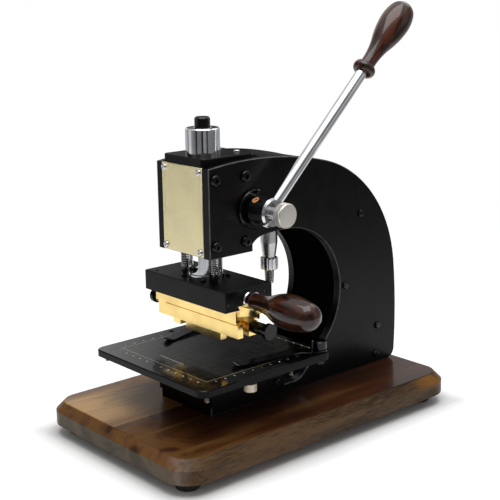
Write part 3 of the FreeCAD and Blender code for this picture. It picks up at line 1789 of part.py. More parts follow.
def make_table():
    """The column on the frame's arms and the table plate on it, with studs under its edges."""
    arm_top = D.board_thick + D.arm_thick
    body = new_body("ColumnBody")
    plan = rounded_steps(
        -D.column_half, D.column_half, D.column_front, D.column_rear, D.column_edge
    )
    sketch = outline(sketch_on(body, "XY_Plane", "Plan", arm_top), plan)
    pad(body, sketch, D.table_bottom - arm_top)
    holes = []
    for side, inward in ((1, TO_LEFT), (-1, TO_RIGHT)):
        holes.append(
            rod(D.tie_screw_radius, D.tie_screw_grip, side * D.column_half, D.column_screw_y,
                D.column_screw_z, inward)
        )
    keep("table_column", cut(body, holes))
    body = new_body("TableBody")
    plan = rounded_steps(
        -D.table_half, D.table_half, D.table_front, D.table_rear, D.table_corner
    )
    sketch = outline(sketch_on(body, "XY_Plane", "Plan", D.table_bottom), plan)
    pad(body, sketch, D.table_top - D.table_bottom)
    top = SIZES["table_top"]
    edge_bevel(body, D.table_edge, lambda edge: edge_in_plane(edge, "Z", top))
    thick = D.table_top - D.table_bottom
    holes = [rod(D.table_hole_radius, thick, D.table_hole_x, D.table_hole_y, D.table_bottom)]
    studs = []
    for side in (-1, 1):
        bore = D.clip_screw_radius + D.axle_gap
        holes.append(rod(bore, thick, side * D.clip_x, D.clip_y, D.table_bottom))
        for row in range(int(D.table_stud_rows.value)):
            y = D.table_stud_front + D.table_stud_pitch * row
            x = side * D.table_stud_x
            holes.append(rod(D.table_stud_radius, D.table_stud_sink, x, y, D.table_bottom))
            bottom = D.table_bottom + D.table_stud_sink - D.table_stud_length
            studs.append(rod(D.table_stud_radius, D.table_stud_length, x, y, bottom))
    keep("table_plate", cut(body, holes))
    keep("table_studs", together(studs))


def make_table_nut():
    """The knurled nut on the middle stud of the right side."""
    edge = D.table_nut_edge
    bore = D.table_stud_radius + D.axle_gap
    nut = turned("TableNutBody", [
        (bore, D.table_nut_bottom),
        (D.table_nut_radius - edge, D.table_nut_bottom),
        (D.table_nut_radius, D.table_nut_bottom + edge),
        (D.table_nut_radius, D.table_nut_top - edge),
        (D.table_nut_radius - edge, D.table_nut_top),
        (bore, D.table_nut_top),
    ])
    y = D.table_stud_front + D.table_stud_pitch
    keep("table_nut", place(nut, D.table_stud_x, y))


def make_clips():
    """The two sprung clips, their knobs with long screws and the nuts under the table."""
    low = D.table_top + D.clip_lift
    nuts = []
    for name, side in (("right", 1), ("left", -1)):
        turn = FreeCAD.Rotation(vector(0, 0, 1), -side * D.clip_angle.value)
        strip = new_body("ClipStrip")
        thick = D.clip_thick
        crown = D.clip_crown
        steps = [
            (D.clip_rear_half, 0),
            (D.clip_rear_half, thick),
            (-D.clip_flat, thick),
            (-D.clip_knee, crown + thick),
            (-D.clip_touch, thick),
            (-D.clip_curl_end, D.clip_curl + thick, "arc"),
            (-D.clip_curl_end, D.clip_curl),
            (-D.clip_touch, 0),
            (-D.clip_knee, crown),
            (-D.clip_flat, 0),
        ]
        sketch = outline(sketch_on(strip, "YZ_Plane", "Side"), steps)
        pad(strip, sketch, D.clip_rear_half * 2, True)
        plan_body = new_body("ClipPlan")
        rear = D.clip_rear_half
        tip = D.clip_tip_half
        plan = [
            (rear, 0),
            (-rear, 0, "arc"),
            (-tip, -D.clip_curl_end + tip),
            (tip, -D.clip_curl_end + tip, "arc"),
        ]
        sketch = outline(sketch_on(plan_body, "XY_Plane", "Plan", -D.clip_lift), plan)
        pad(plan_body, sketch, D.clip_curl * 3 + thick)
        common = doc.addObject("Part::Common", "ClipForm")
        common.Base = strip
        common.Tool = plan_body
        bore = D.clip_screw_radius + D.axle_gap
        hole = rod(bore, thick * 2, 0, 0, -thick / 2)
        clip = cut(common, [hole])
        keep("table_clip_" + name, place(clip, side * D.clip_x, D.clip_y, low, turn))
        knob_seat = low + thick
        nut_bottom = D.table_bottom - D.clip_nut_thick
        edge = D.clip_knob_edge
        knob = turned("ClipKnob", [
            (0, nut_bottom),
            (D.clip_screw_radius, nut_bottom),
            (D.clip_screw_radius, knob_seat),
            (D.clip_knob_radius - edge, knob_seat),
            (D.clip_knob_radius, knob_seat + edge),
            (D.clip_knob_radius, knob_seat + D.clip_knob_height - edge),
            (D.clip_knob_radius - edge, knob_seat + D.clip_knob_height),
            (0, knob_seat + D.clip_knob_height),
        ])
        keep("clip_knob_" + name, place(knob, side * D.clip_x, D.clip_y))
        nut = six_sided(
            D.clip_nut_radius, D.clip_nut_thick, side * D.clip_x, D.clip_y, nut_bottom
        )
        nuts.append(cut(nut, [rod(bore, D.clip_nut_thick, side * D.clip_x, D.clip_y, nut_bottom)]))
    keep("hex_nuts", together(nuts + [lock_nut()]))


# Heater connector and lead

def lock_nut():
    """The hexagon nut on the connector's spigot, above the throat's roof."""
    seat = D.barrel_spigot_top - D.lock_nut_thick
    nut = six_sided(D.lock_nut_radius, D.lock_nut_thick, 0, D.plug_y, seat)
    return cut(nut, [rod(D.barrel_spigot_radius, D.lock_nut_thick, 0, D.plug_y, seat)])


def make_connector():
    """The connector under the throat's roof: barrel, fluted nut and sprung relief."""
    bore = D.lead_radius + D.lead_gap
    barrel = turned("BarrelBody", [
        (D.barrel_tip_radius, D.barrel_bottom),
        (D.barrel_radius, D.barrel_waist),
        (D.barrel_radius, D.barrel_top),
        (D.barrel_spigot_radius, D.barrel_top),
        (D.barrel_spigot_radius, D.barrel_spigot_top),
        (0, D.barrel_spigot_top),
        (0, D.barrel_bottom + D.lead_slack),
        (bore, D.barrel_bottom + D.lead_slack),
        (bore, D.barrel_bottom),
    ])
    keep("connector_barrel", place(barrel, 0, D.plug_y))
    body = turned("FluteNutBody", [
        (bore, D.flute_nut_bottom),
        (D.flute_nut_radius - D.flute_edge, D.flute_nut_bottom),
        (D.flute_nut_radius, D.flute_nut_bottom + D.flute_edge),
        (D.flute_nut_radius, D.barrel_bottom - D.flute_edge),
        (D.flute_nut_radius - D.flute_edge, D.barrel_bottom),
        (bore, D.barrel_bottom),
    ])
    sketch = sketch_on(body, "XY_Plane", "Flute", D.flute_nut_bottom)
    sketch.addGeometry(
        Part.Circle(vector(D.flute_nut_radius.value, 0, 0), vector(0, 0, 1), D.flute_radius.value), False
    )
    pocket = body.newObject("PartDesign::Pocket", "FluteCut")
    pocket.Profile = sketch
    bind(pocket, Length=D.barrel_bottom - D.flute_nut_bottom)
    pocket.Reversed = True
    doc.recompute()
    pattern = body.newObject("PartDesign::PolarPattern", "Flutes")
    pattern.Originals = [pocket]
    pattern.Axis = (sketch, ["N_Axis"])
    pattern.Angle = 360.0
    pattern.Occurrences = int(D.flute_count.value)
    body.Tip = pattern
    doc.recompute()
    keep("connector_nut", place(body, 0, D.plug_y))
    turns = int(D.relief_turns.value)
    drop = D.relief_pitch.value * turns + D.relief_wire.value
    shape, gap = coil(
        D.relief_bottom_radius.value, D.relief_top_radius.value, 0.0,
        D.relief_pitch.value, turns, D.relief_wire.value
    )
    print("strain_relief least gap between turns", round(gap, 3))
    relief = doc.addObject("Part::Feature", "ReliefWire")
    relief.Shape = shape
    low = D.flute_nut_bottom - drop
    keep("strain_relief", place(relief, 0, D.plug_y, low))


# The heater lead's route in the plane of the machine's middle, as depth and height.
LEAD_ROUTE = (
    (19.5, 144.5),
    (19.5, 114.5),
    (18.9, 103.0),
    (15.6, 93.0),
    (9.0, 86.6),
    (0.6, 85.8),
    (-5.8, 91.0),
    (-8.8, 99.8),
    (-10.0, 108.6),
    (-12.2, 117.0),
    (-18.4, 124.0),
    (-27.6, 124.0),
)


# The part of the shorter run beside each bend that the bend takes up.
BEND_SHARE = 0.45


def make_lead():
    """The heater's lead, from inside the connector in a short loop to the gland behind the block."""
    points = [vector(0, depth, height) for depth, height in LEAD_ROUTE]
    edges = []
    start = points[0]
    for index in range(1, len(points) - 1):
        before = points[index] - points[index - 1]
        after = points[index + 1] - points[index]
        turn = before.getAngle(after)
        cut_back = BEND_SHARE * min(before.Length, after.Length)
        radius = cut_back / math.tan(turn / 2)
        print("lead radius at point", index, round(radius, 2))
        first = points[index] - before.normalize() * cut_back
        last = points[index] + after.normalize() * cut_back
        inward = (after - before).normalize()
        centre = points[index] + inward * (radius / math.cos(turn / 2))
        middle = centre - inward * radius
        edges.append(Part.LineSegment(start, first).toShape())
        edges.append(Part.Arc(first, middle, last).toShape())
        start = last
    edges.append(Part.LineSegment(start, points[-1]).toShape())
    path = Part.Wire(edges)
    ring = Part.Wire(Part.Circle(points[0], vector(0, 0, 1), D.lead_radius.value).toShape())
    solid = path.makePipeShell([ring], True, False)
    expected = math.pi * D.lead_radius.value ** 2 * path.Length
    print("lead length", round(path.Length, 2), "volume share", round(solid.Volume / expected, 5))
    lead = doc.addObject("Part::Feature", "LeadTube")
    lead.Shape = solid
    keep("heater_lead", lead)


make_board()
make_feet()
make_cheeks()
make_spacer()
make_tie_bars()
make_spine_cover()
make_throat_wall()
make_head()
make_head_screws()
make_top_plate()
make_sleeve()
make_nameplate()
make_bearings()
make_shaft()
make_pinion()
make_lever_hub()
make_hub_cap()
make_lever_rod()
make_rack()
make_stem()
make_ram_hub()
make_ram_bolt()
make_heater_block()
make_block_fittings()
make_upper_plugs()
make_springs()
make_side_handle()
make_holder()
make_jaws()
make_type()
make_thumb_screws()
make_table()
make_table_nut()
make_clips()
make_connector()
make_lead()
doc.recompute()

for item in doc.Objects:
    if "Invalid" in item.State or "Error" in item.State:
        raise RuntimeError("failed: " + item.Name + " " + item.Label)

os.makedirs("parts", exist_ok=True)
for node_name, node in nodes.items():
    shape = node.Shape
    if shape.isNull() or not shape.isValid() or not shape.Solids:
        raise RuntimeError("bad shape: " + node_name)
    shape.exportStep("parts/" + node_name + ".step")
print(len(nodes), "sub-parts written")
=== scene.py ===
"""Finishes and fine detail for a bench hot stamping machine."""

import math

import bmesh
import bpy
from bpy.props import FloatProperty, FloatVectorProperty, IntProperty, PointerProperty
from mathutils import Matrix, Vector


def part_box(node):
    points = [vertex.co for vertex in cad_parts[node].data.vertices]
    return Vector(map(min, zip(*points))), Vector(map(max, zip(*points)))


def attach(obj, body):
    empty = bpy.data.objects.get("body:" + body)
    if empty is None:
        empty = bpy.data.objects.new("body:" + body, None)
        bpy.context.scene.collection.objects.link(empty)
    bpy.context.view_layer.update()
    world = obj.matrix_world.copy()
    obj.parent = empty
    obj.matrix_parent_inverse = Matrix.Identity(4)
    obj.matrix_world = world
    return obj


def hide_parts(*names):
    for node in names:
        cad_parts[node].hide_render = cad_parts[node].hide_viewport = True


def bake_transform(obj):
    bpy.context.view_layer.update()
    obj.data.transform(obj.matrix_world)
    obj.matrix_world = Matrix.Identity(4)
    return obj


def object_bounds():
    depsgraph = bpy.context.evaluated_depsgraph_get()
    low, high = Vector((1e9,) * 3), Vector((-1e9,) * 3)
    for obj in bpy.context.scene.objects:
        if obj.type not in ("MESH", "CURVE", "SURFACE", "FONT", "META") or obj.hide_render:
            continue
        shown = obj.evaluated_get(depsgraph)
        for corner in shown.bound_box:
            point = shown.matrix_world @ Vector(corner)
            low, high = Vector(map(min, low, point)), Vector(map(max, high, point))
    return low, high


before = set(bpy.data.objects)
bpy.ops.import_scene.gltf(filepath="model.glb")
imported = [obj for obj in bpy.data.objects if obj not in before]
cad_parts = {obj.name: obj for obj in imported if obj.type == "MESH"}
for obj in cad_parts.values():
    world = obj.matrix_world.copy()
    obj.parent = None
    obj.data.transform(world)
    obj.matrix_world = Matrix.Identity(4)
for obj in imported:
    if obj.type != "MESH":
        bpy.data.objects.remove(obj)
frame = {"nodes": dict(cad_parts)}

bl_info = {
    "name": "Hot stamping machine finishes",
    "version": (1, 0, 0),
    "blender": (4, 5, 0),
    "location": "View3D > Sidebar > Stamping",
    "description": "Dresses the bench stamping machine and sets its stage",
    "category": "Object",
}

PLAIN_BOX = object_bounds()
NODES = frame["nodes"]
MM = 0.001


# Settings

def colour(name, description, shade):
    """A colour setting, written as it looks on a screen."""
    return FloatVectorProperty(
        name=name, description=description, default=shade, min=0.0, max=1.0, size=3,
        subtype="COLOR_GAMMA"
    )


def length(name, description, metres):
    """A length setting in metres."""
    return FloatProperty(
        name=name, description=description, default=metres, precision=5, unit="LENGTH"
    )


def angle(name, description, degrees):
    """An angle setting, given in degrees."""
    return FloatProperty(
        name=name, description=description, default=math.radians(degrees), unit="ROTATION"
    )


def amount(name, description, value):
    """A plain setting that isn't below zero."""
    return FloatProperty(name=name, description=description, default=value, min=0.0)


def count(name, description, number):
    """A whole number of things."""
    return IntProperty(name=name, description=description, default=number, min=1)


class BoardLooks(bpy.types.PropertyGroup):
    """The walnut board and its feet."""
    seam: length("Seam", "Where the two glued planks meet, from the middle", -3.5 * MM)
    heart: colour("Left plank", "The lighter plank's brown", (0.49, 0.35, 0.185))
    # The right plank's brown is darker than the wood alone, standing for the machine's shade over
    # it: partly the plank's own tone, partly painted shade.
    deep: colour("Right plank", "The darker plank's brown", (0.175, 0.093, 0.042))
    sap: colour("Sapwood", "The pale wood at the left plank's front", (0.75, 0.58, 0.35))
    side: colour("Side", "The long sides' brown", (0.245, 0.183, 0.122))
    end: colour("End bevel", "The ruddy end grain of the bevel", (0.35, 0.24, 0.14))
    face: colour("End face", "The grey brown end grain below the bevel", (0.33, 0.285, 0.225))
    amber: colour("Amber", "The warm patches in the grain", (0.5, 0.34, 0.15))
    grey: colour("Grey corner", "The grey grain at the front right corner", (0.5, 0.43, 0.4))
    rubber: colour("Rubber", "The feet", (0.07, 0.07, 0.072))
    sap_middle: length("Sapwood", "How far left of the middle the sapwood lies", 56 * MM)
    ragged: length("Ragged", "How far the sapwood's border wanders", 70 * MM)


class CoatLooks(bpy.types.PropertyGroup):
    """The black coat of the frame, the head and the block."""
    body: colour("Powder coat", "The frame's satin black", (0.012, 0.012, 0.014))
    wall: colour("Wall paint", "The throat wall's dull black", (0.03, 0.03, 0.032))
    block: colour("Block coat", "The heater block's satin black", (0.014, 0.014, 0.015))
    # The light grey on the cheeks' chamfers stands for the glint of light along them: a painted
    # highlight.
    worn: colour("Worn edge", "The thin coat on the cheeks' chamfers", (0.36, 0.36, 0.37))
    screw: colour("Black oxide", "The dark screws, plugs and clips", (0.02, 0.02, 0.022))
    grain: length("Coat grain", "The size of the coat's orange peel", 0.7 * MM)
    gloss: amount("Gloss", "The coat's specular level", 0.15)


class PlateLooks(bpy.types.PropertyGroup):
    """The plain brass plate on the head's front."""
    brass: colour("Plate brass", "The plate's pale satin brass", (0.98, 0.93, 0.75))
    edge: length("Edge", "The chamfer round the plate's face", 0.3 * MM)
    border: length("Border", "How far in the raised line runs", 2.6 * MM)
    rise: length("Rise", "The raised line's height", 0.15 * MM)
    corner: length("Corner", "The radius of the plate's corners", 0.8 * MM)


class MetalLooks(bpy.types.PropertyGroup):
    """Bright and plain metals."""
    chrome: colour("Chrome", "The sleeve, hub, rod and fluted nut", (0.86, 0.865, 0.88))
    steel: colour("Steel", "The shaft, gear, rack and tie bars", (0.74, 0.74, 0.75))
    nickel: colour("Nickel", "The studs, the nut and the gland", (0.76, 0.71, 0.64))
    cap: colour("Cap", "The lever's satin cap", (0.88, 0.86, 0.83))
    wire: colour("Wire", "The springs and the strain relief", (0.68, 0.68, 0.69))
    plug: colour("Plug", "The lower plugs' dark steel", (0.333, 0.333, 0.3375))
    bronze: colour("Bronze", "The shaft's bushes", (0.66, 0.46, 0.24))
    copper: colour("Copper", "The hub's set screw", (0.96, 0.72, 0.52))
    brass: colour("Holder brass", "The type holder", (0.98, 0.85, 0.56))


class HandleLooks(bpy.types.PropertyGroup):
    """The lacquered handles."""
    red: colour("Lacquer", "The red brown between the streaks", (0.42, 0.2, 0.11))
    black: colour("Streaks", "The near black streaks", (0.08, 0.035, 0.026))
    lean: angle("Lean", "The turn of the lever handle's streaks", -44.5)


class TableLooks(bpy.types.PropertyGroup):
    """The ruled table and what stands on it."""
    face: colour("Table", "The table's glossy black", (0.025, 0.025, 0.028))
    mark: colour("Numbers", "The printed numbers and the short rule", (1.0, 1.0, 0.98))
    frame: colour("Frame line", "The ruled frame", (0.8, 0.74, 0.58))
    grid: colour("Grid", "The fine printed grid", (0.34, 0.29, 0.17))
    line: length("Line", "The width of the frame line", 0.32 * MM)
    pitch: length("Pitch", "The distance from number to number", 10 * MM)
    frame_side: length("Frame side", "The frame line's distance from the middle", 59.3 * MM)
    frame_middle: length("Frame middle", "The depth of the frame's middle", -43.3 * MM)
    frame_depth: length("Frame depth", "Half the frame's depth", 60 * MM)
    face_height: length("Face height", "Just under the table's top face", 63.3 * MM)
    rule_middle: length("Rule's middle", "The short rule's place from side to side", -3.2 * MM)
    rule_half: length("Rule's half", "Half the short rule's length", 16.4 * MM)
    rule_depth: length("Rule's depth", "The short rule's place along the table", -90.7 * MM)
    number: length("Number height", "The height of the printed numbers", 2.3 * MM)
    weight: length("Weight", "How much bolder the numbers are", 0.08 * MM)
    ink: length("Ink", "Half the print's thickness", 0.01 * MM)
    lift: length("Lift", "How far the print's middle is above the table", 0.02 * MM)
    columns: count("Columns", "The numbers from side to side", 12)
    rows: count("Rows", "The numbers from front to rear", 10)
    front_row: length("Front row", "The place of the front row of numbers", -108.7 * MM)
    rear_row: length("Rear row", "The place of the rear row of numbers", 16.8 * MM)
    side_row: length("Side rows", "The side rows' distance from the middle", 63.4 * MM)
    first_row: length("First", "The place of the first number in a side row", -97 * MM)


class SpringLooks(bpy.types.PropertyGroup):
    """The two return springs between the head and the heater block."""
    aside: length("Aside", "Each spring's distance from the middle", 20.5 * MM)
    depth: length("Depth", "The springs' place along the machine", -60.5 * MM)
    foot: length("Foot", "The height of the springs' lower end", 137 * MM)
    coil: length("Coil radius", "From the spring's axis to the middle of its wire", 3.15 * MM)
    wire: length("Wire radius", "The wire's radius", 0.5 * MM)
    pitch: length("Pitch", "The rise of one turn", 1.6 * MM)
    turns: count("Turns", "The turns of one spring", 17)
    steps: count("Steps", "The faces along one turn", 32)
    sides: count("Sides", "The faces round the wire", 10)


class LeadLooks(bpy.types.PropertyGroup):
    """The heater's lead."""
    bore: length("Diameter", "The lead's diameter", 4 * MM)
    run: length("Length", "The lead's real length", 121 * MM)
    rubber: colour("Sheath", "The lead's sheath", (0.06, 0.06, 0.062))


class StageLooks(bpy.types.PropertyGroup):
    """The floor, the lamps and the camera."""
    paper: colour("Floor", "The pale floor", (0.95, 0.95, 0.95))
    eye: FloatVectorProperty(
        name="Camera", description="Where the camera stands", size=3, precision=5,
        default=(0.71729, -0.6273, 0.37346), subtype="TRANSLATION"
    )
    yaw: angle("Yaw", "The camera's turn about the upright", 48.976)
    pitch: angle("Pitch", "The camera's tilt from the level", -13.444)
    roll: angle("Roll", "The camera's turn about its own line of sight", -0.818)
    lens: amount("Lens", "The camera's focal length in millimetres", 79.28)
    film: amount("Film", "The width of the camera's film in millimetres", 36)
    size: length("Floor size", "The side of the square floor", 12)
    solid: length("Solid floor", "How far from the middle the floor stays solid", 0.42)
    gone: length("Floor's end", "How far from the middle the floor has faded away", 0.924)
    # Between these two distances from the board the floor's lift fades in, so the floor close
    # round the board is darker than its lamps make it: a painted contact shadow over the real
    # one.
    shaded: length("Shade", "How far from the board the floor keeps its whole shade", 2 * MM)
    clear: length("Clear floor", "How far from the board the floor is white", 22 * MM)
    lift: amount("Floor lift", "The light that lifts the floor to white in the picture", 0.34)
    sky: amount("Room light", "How strongly the pale room lights the machine", 0.4)


LOOKS = {
    "board": BoardLooks,
    "coat": CoatLooks,
    "plate": PlateLooks,
    "metal": MetalLooks,
    "handle": HandleLooks,
    "table": TableLooks,
    "spring": SpringLooks,
    "lead": LeadLooks,
    "stage": StageLooks,
}


def looks(group):
    """The settings of one group."""
    return getattr(bpy.context.scene, "stamping_" + group)


# Shader kit

# The part of a noise's range over which a finish goes from one value to the other.
WIDE = (0.3, 0.7)
NARROW = (0.35, 0.65)

# The curve of screen colours: straight up to the toe, and a power of the shade above it.
SCREEN_TOE = 0.04045
SCREEN_SLOPE = 12.92
SCREEN_OFFSET = 0.055
SCREEN_POWER = 2.4


class Field:
    """A value that changes over a surface, held as a node's output."""

    def __init__(self, graph, socket):
        self.graph = graph
        self.socket = socket

    def maths(self, operation, *values):
        """A Math node on these values."""
        return self.graph.maths(operation, *values)

    def __add__(self, other):
        return self.maths("ADD", self, other)

    def __radd__(self, other):
        return self.maths("ADD", other, self)

    def __sub__(self, other):
        return self.maths("SUBTRACT", self, other)

    def __rsub__(self, other):
        return self.maths("SUBTRACT", other, self)

    def __mul__(self, other):
        return self.maths("MULTIPLY", self, other)

    def __rmul__(self, other):
        return self.maths("MULTIPLY", other, self)

    def __truediv__(self, other):
        return self.maths("DIVIDE", self, other)

    def __mod__(self, other):
        return self.maths("FLOORED_MODULO", self, other)

    def __abs__(self):
        return self.maths("ABSOLUTE", self)

    def __lt__(self, other):
        return self.maths("LESS_THAN", self, other)

    def __gt__(self, other):
        return self.maths("GREATER_THAN", self, other)

    def __and__(self, other):
        return self.maths("MINIMUM", self, other)

    def __or__(self, other):
        return self.maths("MAXIMUM", self, other)


def zigzag(value):
    """A wave of straight lines from 0 to 1, once for each whole step of the value."""
    return abs(value % 1.0 - 0.5) * 2


def linear(shade):
    """A screen colour as the shader takes it."""
    parts = []
    for part in shade:
        if part <= SCREEN_TOE:
            parts.append(part / SCREEN_SLOPE)
        else:
            parts.append(((part + SCREEN_OFFSET) / (1 + SCREEN_OFFSET)) ** SCREEN_POWER)
    return (*parts, 1.0)


def grey(part):
    """A grey as the shader takes it, from its plain, linear value."""
    return (part, part, part, 1.0)


def darker(shade, share):
    """A screen colour made darker or lighter by a share."""
    return tuple(min(1.0, part * share) for part in shade)


class Graph:
    """A tree of shader nodes and the one place where nodes are added to it."""

    def __init__(self, tree):
        self.tree = tree

    def add(self, kind, settings=None, values=None, output=0):
        """Adds a node, with its settings first and then the values or links of its sockets."""
        node = self.tree.nodes.new(kind)
        for key, value in (settings or {}).items():
            if key == "stops":
                self.set_stops(node.color_ramp, value)
            else:
                setattr(node, key, value)
        for key, value in (values or {}).items():
            self.plug(node.inputs[key], value)
        return Field(self, node.outputs[output])

    def maths(self, operation, *values):
        """A Math node on these values."""
        return self.add("ShaderNodeMath", {"operation": operation}, dict(enumerate(values)))

    def parts(self, vector):
        """The three parts of a vector."""
        split = self.add("ShaderNodeSeparateXYZ", values={0: vector})
        return [Field(self, output) for output in split.socket.node.outputs]

    def set_stops(self, ramp, stops):
        """Gives a colour ramp its stops, as (place, screen colour)."""
        while len(ramp.elements) < len(stops):
            ramp.elements.new(0.5)
        for element, (place, shade) in zip(ramp.elements, stops):
            element.position = place
            element.color = linear(shade)

    def plug(self, socket, value):
        """Links a field to a socket, or sets the socket to a plain value."""
        if isinstance(value, Field):
            self.tree.links.new(value.socket, socket)
        else:
            socket.default_value = value

    def ramp(self, value, stops):
        """Turns a value into a colour."""
        return self.add("ShaderNodeValToRGB", {"stops": stops}, {0: value})

    def between(self, value, low, high, start=0.0, end=1.0):
        """Maps a value's range to another, held to its ends."""
        return self.add(
            "ShaderNodeMapRange", {"clamp": True},
            {0: value, 1: low, 2: high, 3: start, 4: end}
        )

    def mix(self, factor, first, second):
        """Mixes two colours."""
        return self.add(
            "ShaderNodeMix", {"data_type": "RGBA"}, {0: factor, 6: first, 7: second}, output=2
        )


class Finish(Graph):
    """A material in the making."""

    def __init__(self, name, shade, roughness=0.5, metallic=0.0, **fixed):
        self.material = bpy.data.materials.new(name)
        self.material.use_nodes = True
        super().__init__(self.material.node_tree)
        self.shader = self.tree.nodes["Principled BSDF"]
        self.feed("Base Color", linear(shade))
        self.feed("Roughness", roughness)
        self.feed("Metallic", metallic)
        for key, value in fixed.items():
            self.feed(key.replace("_", " ").title().replace("Ior", "IOR"), value)
        self.material.diffuse_color = linear(shade)

    def feed(self, key, value):
        """Sets or links one of the shader's own sockets."""
        self.plug(self.shader.inputs[key], value)

    def place(self):
        """The point's place in the machine's frame, in metres."""
        return self.add("ShaderNodeTexCoord", output="Object")

    def axes(self):
        """The point's three coordinates in metres."""
        return self.parts(self.place())

    def mapped(self, stretch, turn):
        """The point's place, squeezed by these shares along axes that are turned first."""
        return self.add(
            "ShaderNodeMapping", {"vector_type": "TEXTURE"},
            {"Vector": self.place(), "Rotation": turn, "Scale": [1 / part for part in stretch]}
        )

    def noise(self, size, stretch=(1, 1, 1), turn=(0, 0, 0), detail=3.0, rough=0.5, warp=0.0):
        """Cloudy noise from 0 to 1 whose spots are about the given size in metres."""
        return self.add(
            "ShaderNodeTexNoise", {"noise_dimensions": "3D"},
            {"Vector": self.mapped(stretch, turn), "Scale": 1 / size, "Detail": detail,
             "Roughness": rough, "Distortion": warp}
        )

    def vary(self, value, shade, low, high, ends=WIDE):
        """A shade that goes from one share of itself to another between a value's two ends."""
        return self.mix(
            self.between(value, *ends), linear(darker(shade, low)), linear(darker(shade, high))
        )

    def bump(self, height, metres, strength=1.0):
        """Raises the surface by a height from 0 to 1."""
        self.feed("Normal", self.add(
            "ShaderNodeBump", None, {"Strength": strength, "Distance": metres, "Height": height}
        ))


def dress(finish, *names):
    """Gives a finish to CAD nodes."""
    for name in names:
        piece = NODES[name]
        if not piece.material_slots:
            piece.data.materials.append(finish.material)
        for held in piece.material_slots:
            held.material = finish.material


# Finishes

def coat_finish(name, shade, low, high):
    """Satin powder coat with a fine orange peel and faint handling marks."""
    tones = looks("coat")
    finish = Finish(name, shade, specular_ior_level=tones.gloss)
    haze = finish.noise(14 * MM, detail=5.0)
    peel = finish.noise(tones.grain, detail=2.0)
    finish.feed("Roughness", finish.between(haze, *NARROW, low, high))
    finish.feed("Base Color", finish.vary(peel, shade, 0.8, 1.2))
    finish.bump(peel, metres=0.03 * MM, strength=0.5)
    return finish


def cheek_finish():
    """The frame's coat, with a painted highlight: a light grey along the chamfers of the cheeks,
    broken up by noise.
    """
    tones = looks("coat")
    finish = coat_finish("cheek_coat", tones.body, low=0.26, high=0.36)
    facing = finish.add("ShaderNodeNewGeometry", output="Normal")
    aside = abs(finish.parts(facing)[0])
    # A painted highlight: the chamfers, found by the way they face, get the light grey, made
    # patchy by noise.
    chamfer = finish.between(aside, 0.3, 0.5) * finish.between(aside, 0.92, 0.8)
    patchy_highlight = finish.noise(5 * MM, detail=3.0)
    chamfer = chamfer * finish.between(patchy_highlight, 0.3, 0.6, 0.5, 1.0)
    finish.feed("Base Color", finish.mix(chamfer, linear(tones.body), linear(tones.worn)))
    return finish


def matt_finish(name, shade, grain):
    """Dull black paint, as sprayed into the throat."""
    finish = Finish(name, shade, specular_ior_level=0.0)
    spray = finish.noise(grain, detail=3.0)
    drift = finish.noise(20 * MM, detail=3.0)
    finish.feed("Roughness", finish.between(spray, *WIDE, 0.5, 0.7))
    finish.feed("Base Color", finish.vary(drift, shade, 0.8, 1.3, NARROW))
    finish.bump(spray, metres=0.04 * MM, strength=0.5)
    return finish


def oxide_finish():
    """Oiled black oxide on screws, plugs and clips."""
    shade = looks("coat").screw
    finish = Finish("black_oxide", shade, specular_ior_level=0.3)
    wear = finish.noise(1.4 * MM, detail=4.0)
    finish.feed("Roughness", finish.between(wear, *WIDE, 0.06, 0.16))
    finish.feed("Base Color", finish.vary(wear, shade, 1.0, 1.7, (0.55, 0.75)))
    finish.bump(wear, metres=0.02 * MM, strength=0.3)
    return finish


def bright_finish(name, shade, low, high, run=(1, 1, 1), size=1.2 * MM, depth=0.25):
    """Polished metal with faint lathe or draw lines along the run."""
    finish = Finish(name, shade, metallic=1.0)
    lines = finish.noise(size, stretch=run, detail=4.0, rough=0.6)
    smear = finish.noise(16 * MM, detail=3.0)
    finish.feed("Roughness", finish.between(lines * 0.7 + smear * 0.3, *NARROW, low, high))
    finish.feed("Base Color", finish.vary(smear, shade, 0.93, 1.04))
    finish.bump(lines, metres=0.01 * MM, strength=depth)
    return finish


def shine(name, metal, low, high, *nodes, **more):
    """Gives CAD nodes one of the bright metals, between two values of roughness."""
    dress(bright_finish(name, getattr(looks("metal"), metal), low, high, **more), *nodes)


def knurled_finish(name, shade, axis, middle, teeth, reach, low=0.26, high=0.38):
    """Satin metal with a straight knurl round one axis, past a distance from it."""
    finish = bright_finish(name, shade, low, high)
    parts = finish.axes()
    first, second = (parts[index] - at for index, at in zip(axis, middle))
    turn = finish.maths("ARCTAN2", second, first) * teeth / math.tau
    away = finish.maths("SQRT", first * first + second * second)
    finish.bump(zigzag(turn) * (away > reach), metres=0.25 * MM, strength=0.8)
    return finish


def threaded_finish(name, shade, pitch):
    """Plated metal with an upright thread."""
    finish = bright_finish(name, shade, low=0.16, high=0.28)
    upward = finish.axes()[2]
    finish.bump(zigzag(upward / pitch), metres=0.3 * MM)
    return finish


def rubber_finish(name, shade):
    """Dull black rubber with a fine moulded grain."""
    finish = Finish(name, shade)
    grain = finish.noise(0.5 * MM, detail=4.0)
    dust = finish.noise(6 * MM, detail=3.0)
    finish.feed("Base Color", finish.vary(dust, shade, 1.0, 1.35, (0.4, 0.8)))
    finish.feed("Roughness", finish.between(grain, *WIDE, 0.55, 0.78))
    finish.bump(grain, metres=0.05 * MM, strength=0.4)
    return finish


